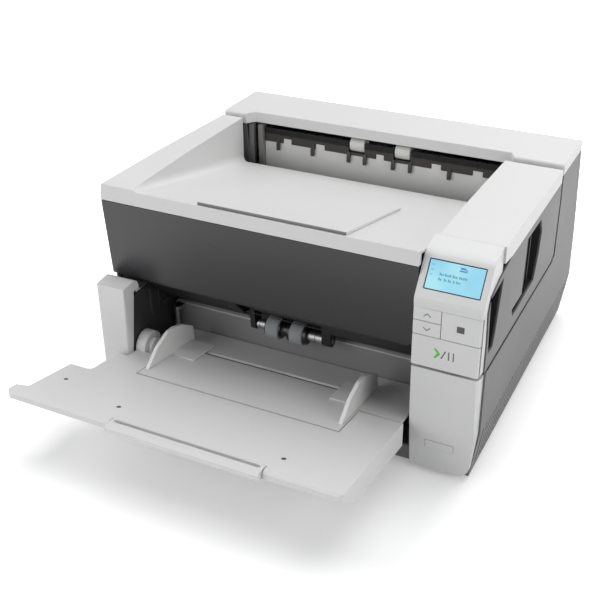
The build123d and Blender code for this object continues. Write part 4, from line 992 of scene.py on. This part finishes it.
def makeScreenMarks(s):
    strokes = list(s["ticks"])
    for z, bars in s["rows"]:
        for x, width in bars:
            # Each bar is broken up like a word into a few strokes
            number = max(2, round(width / s["strokePitch"]))
            step = width / number
            for count in range(number):
                height = s["barHeight"] * (1.0 if count % 3 == 0 else s["lowStroke"])
                strokes.append(rectangle(x + count * step, z, step * s["strokeWidth"], height))
    face = facetPlane(s)
    makeMark("displayRows", strokes, extraMaterials["displayInk"], "cover", face, s)
    makeMark("displayIcon", s["icon"], extraMaterials["displayIcon"], "cover", face, s)


# A dark ring round the window: painted shade standing for the shaded inner walls of the recess
def makeRecessShade(s, face):
    bm = bmesh.new()
    raiseRing(bm, cutCorners(s["low"], s["high"], s["corner"]), face, s["width"], s["sunk"], s["proud"])
    makePiece("displayRecessShade", bm, extraMaterials["paintedShadeBlack"], "cover")


makeScreenMarks(screenSettings)
makeRecessShade(recessShadeSettings, facetPlane(screenSettings))

# Dark sheet behind the keys, a plate and three webs, that puts painted shade into the gaps between the keys
keyGapShadeSettings = {
    "blocks": (
        ((363.0, -14.08, 140.0), (429.0, -13.9, 202.4), 0.02),
        ((389.8, -18.25, 173.3), (390.2, -14.0, 202.3), 0.02),
        ((362.4, -18.25, 172.8), (429.3, -14.0, 173.2), 0.02),
        ((362.4, -18.25, 188.3), (389.6, -14.0, 188.7), 0.02),
    ),
}
makeBlocks("keyGapShadePlate", keyGapShadeSettings["blocks"], extraMaterials["paintedShadeBlack"], "cover")
print("stage: keys and display")


# Strike, slot and hook on the left wall of the throat; the slot is a dark strip of painted shade

latchSettings = {
    "strike": (
        ((35.8, 11.0, 98.0), (37.6, 14.0, 127.0), 0.5),
        ((35.8, 5.0, 128.5), (37.2, 16.0, 130.0), 0.4),
    ),
    "slot": (((35.8, 6.0, 104.0), (36.25, 10.2, 127.0), 0.1),),
    "wall": 36.0,
    "hook": (
        (33.0, 99.0), (40.0, 101.5), (46.0, 100.5), (48.0, 96.0), (46.2, 95.6), (44.8, 98.8), (40.0, 99.6),
        (33.6, 97.4),
    ),
    "hookSunk": 0.2,
    "hookProud": 3.0,
    "hookEdge": 0.25,
}


def makeThroatLatch(s):
    makeBlocks("throatStrike", s["strike"], extraMaterials["latchGrey"], "base")
    # The slot is not cut: a thin dark strip paints the shade inside it
    makeBlocks("throatSlotShade", s["slot"], extraMaterials["brush"], "base")
    hook = bmesh.new()
    plane = drawingPlane(at(s["wall"], 0, 0), (0, 1, 0), (0, 0, 1))
    lifted = raiseOutline(hook, s["hook"], plane, s["hookSunk"], s["hookProud"])
    softRim(hook, list({e for v in lifted for e in v.link_edges}), s["hookEdge"])
    makePiece("throatHook", hook, extraMaterials["latchGrey"], "base")


makeThroatLatch(latchSettings)


# Feeder deck: its slope, the housing of the side latch on it, and the tray's plugs

deckSettings = {"joinY": -22.5, "joinZ": 66.5, "rise": 0.1475}


def deck(y, above):
    return deckSettings["joinZ"] + deckSettings["rise"] * (deckSettings["joinY"] - y) + above


latchCoverSettings = {
    "centre": (-8.0, 67.0),
    "profile": (
        (37.0, 0.0), (37.0, 16.4), (37.8, 17.2), (48.4, 17.2), (49.4, 16.8), (49.8, 16.0), (49.8, 11.2),
        (50.2, 10.8), (53.8, 10.8), (54.4, 10.4), (54.6, 9.8), (54.6, 0.0),
    ),
    "steps": 72,
    "weld": 0.001,
    "clearance": 0.2,
}


def makeLatchCover(s):
    bm = bmesh.new()
    turn(bm, s["profile"], at(0, *s["centre"]), (1, 0, 0), steps=s["steps"])
    bmesh.ops.remove_doubles(bm, verts=bm.verts, dist=s["weld"] * mm)
    cut = bmesh.ops.bisect_plane(
        bm, geom=bm.verts[:] + bm.edges[:] + bm.faces[:], plane_co=at(0, 0, deck(0, s["clearance"])),
        plane_no=(0, deckSettings["rise"], 1), clear_inner=True,
    )
    rim = [item for item in cut["geom_cut"] if isinstance(item, bmesh.types.BMEdge)]
    bmesh.ops.holes_fill(bm, edges=rim, sides=0)
    makePiece("latchCover", bm, materials["light_shell"], "elevator")


makeLatchCover(latchCoverSettings)

# Dark strip over the front face of the output extension: painted shade on that face
frontShadeSettings = {"blocks": (((118.4, -3.6, 253.3), (284.6, -2.2, 256.0), 0.35),)}
makeBlocks(
    "extensionFrontShade", frontShadeSettings["blocks"], extraMaterials["frontShadeGrey"], "output_extension",
)

plugSettings = {
    "places": ((16.0, -121.0), (98.4, -141.6), (286.0, -143.3)),
    "profile": ((-0.2, 0.0), (-0.2, 2.3), (0.35, 2.3), (0.5, 2.1), (0.5, 0.9), (0.2, 0.7), (0.2, 0.0)),
    "floor": -0.9,
    "steps": 24,
}


def makeTrayPlugs(s):
    bm = bmesh.new()
    slopeUp = (0, deckSettings["rise"], 1)
    for x, y in s["places"]:
        turn(bm, s["profile"], at(x, y, deck(y, s["floor"])), slopeUp, steps=s["steps"])
    makePiece("trayPlugs", bm, extraMaterials["plugGrey"], "tray")


makeTrayPlugs(plugSettings)
print("stage: latch and tray")


# Cooling slots along the drafted lower edge of the right side, as lightened ribs over strips of painted
# shade, and dark strips of painted shade over the side seams

ventSettings = {
    "first": 12.0, "pitch": 11.5, "slot": 5.4, "count": 31, "low": 2.0, "high": 45.0, "depth": 0.8,
    "proud": 0.12, "overlap": 0.3, "shadeProud": 0.03, "edge": 0.1,
}
draftSettings = {"x": 425.3, "z": 14.0, "lean": 0.14}


def makeSideVents(s, draft):
    plane = drawingPlane(at(draft["x"], 0, draft["z"]), (0, 1, 0), (draft["lean"], 0, 1))
    height = s["high"] - s["low"]
    shade = bmesh.new()
    ribs = bmesh.new()
    for count in range(s["count"]):
        start = s["first"] + count * s["pitch"]
        slot = rectangle(start - s["overlap"], s["low"], s["slot"] + 2 * s["overlap"], height)
        raiseOutline(shade, slot, plane, s["depth"], s["shadeProud"])
        rib = rectangle(start + s["slot"], s["low"], s["pitch"] - s["slot"], height)
        lifted = raiseOutline(ribs, rib, plane, s["depth"], s["proud"])
        rim = {e for v in lifted for e in v.link_edges}
        softRim(ribs, [e for e in rim if all(v in lifted for v in e.verts)], s["edge"])
    # The strips between the ribs are painted shade in the slots; the ribs are lighter than the side, painted
    # light to offset their shade
    makePiece("sideVentShade", shade, extraMaterials["ventShade"], "base")
    makePiece("sideVentRibs", ribs, extraMaterials["ribLightenedGrey"], "base")


makeSideVents(ventSettings, draftSettings)

# Dark strips over the side seams: painted shade in the seam gaps
seamShadeSettings = {
    "blocks": (
        ((-0.12, 6.0, 134.3), (5.0, 258.0, 136.3), 0.1),
        ((426.5, 6.0, 134.3), (432.12, 258.0, 136.3), 0.1),
    ),
}
makeBlocks("seamShadeStrip", seamShadeSettings["blocks"], extraMaterials["paintedShadeBlack"], "base")
print("stage: side vents and seal")


# Pan head screws on the leaning rear faces and under the base

screwSettings = {
    "profile": (
        (-1.0, 1.2), (0.0, 1.2), (0.0, 3.0), (0.5, 3.4), (1.2, 3.2), (1.7, 2.5), (1.9, 1.5), (1.2, 1.2),
        (0.9, 0.7), (0.7, 0.0),
    ),
    "steps": 20,
    "riser": {
        "foot": (365.0, 132.2), "run": 22.0, "rise": 108.6, "axis": (0, 1, 0.2026),
        "spots": ((18, 222), (18, 150), (414, 222), (414, 150)),
    },
    "rear": {
        "foot": (377.0, 38.0), "run": 12.0, "rise": 94.2, "axis": (0, 1, 0.1274),
        "spots": ((18, 60), (216, 118), (414, 60), (414, 118), (18, 118)),
    },
    "base": {
        "height": 5.0, "axis": (0, 0, -1),
        "spots": ((40, 40), (40, 340), (392, 40), (392, 340), (216, 60), (216, 320)),
    },
}


def makeScrews(name, places, axis, s):
    bm = bmesh.new()
    for place in places:
        turn(bm, s["profile"], at(*place), axis, steps=s["steps"])
    makePiece(name, bm, extraMaterials["screwSteel"], "base")


def makeAllScrews(s):
    for name in ("riser", "rear"):
        face = s[name]
        depth, foot = face["foot"]
        places = [(x, depth - face["run"] * (z - foot) / face["rise"], z) for x, z in face["spots"]]
        makeScrews(name + "Screws", places, face["axis"], s)
    below = s["base"]
    makeScrews("baseScrews", [(x, y, below["height"]) for x, y in below["spots"]], below["axis"], s)


makeAllScrews(screwSettings)


# Pins in the power inlet and the tongue in the data port

inletSettings = {
    "pins": ((99.0, 58.0), (112.0, 58.0), (105.5, 63.2)),
    "halfWidth": 0.9,
    "halfHeight": 2.0,
    "inner": 352.0,
    "outer": 367.0,
    "edge": 0.35,
    "tongue": (((154.4, 352.0, 54.7), (158.6, 367.5, 57.3), 0.3),),
}


def makeSocketDetails(s):
    wide, tall = s["halfWidth"], s["halfHeight"]
    pins = [
        ((x - wide, s["inner"], z - tall), (x + wide, s["outer"], z + tall), s["edge"]) for x, z in s["pins"]
    ]
    makeBlocks("inletPins", pins, extraMaterials["brass"], "base")
    makeBlocks("portTongue", s["tongue"], materials["white_shell"], "base")


makeSocketDetails(inletSettings)
print("stage: screws and pins")
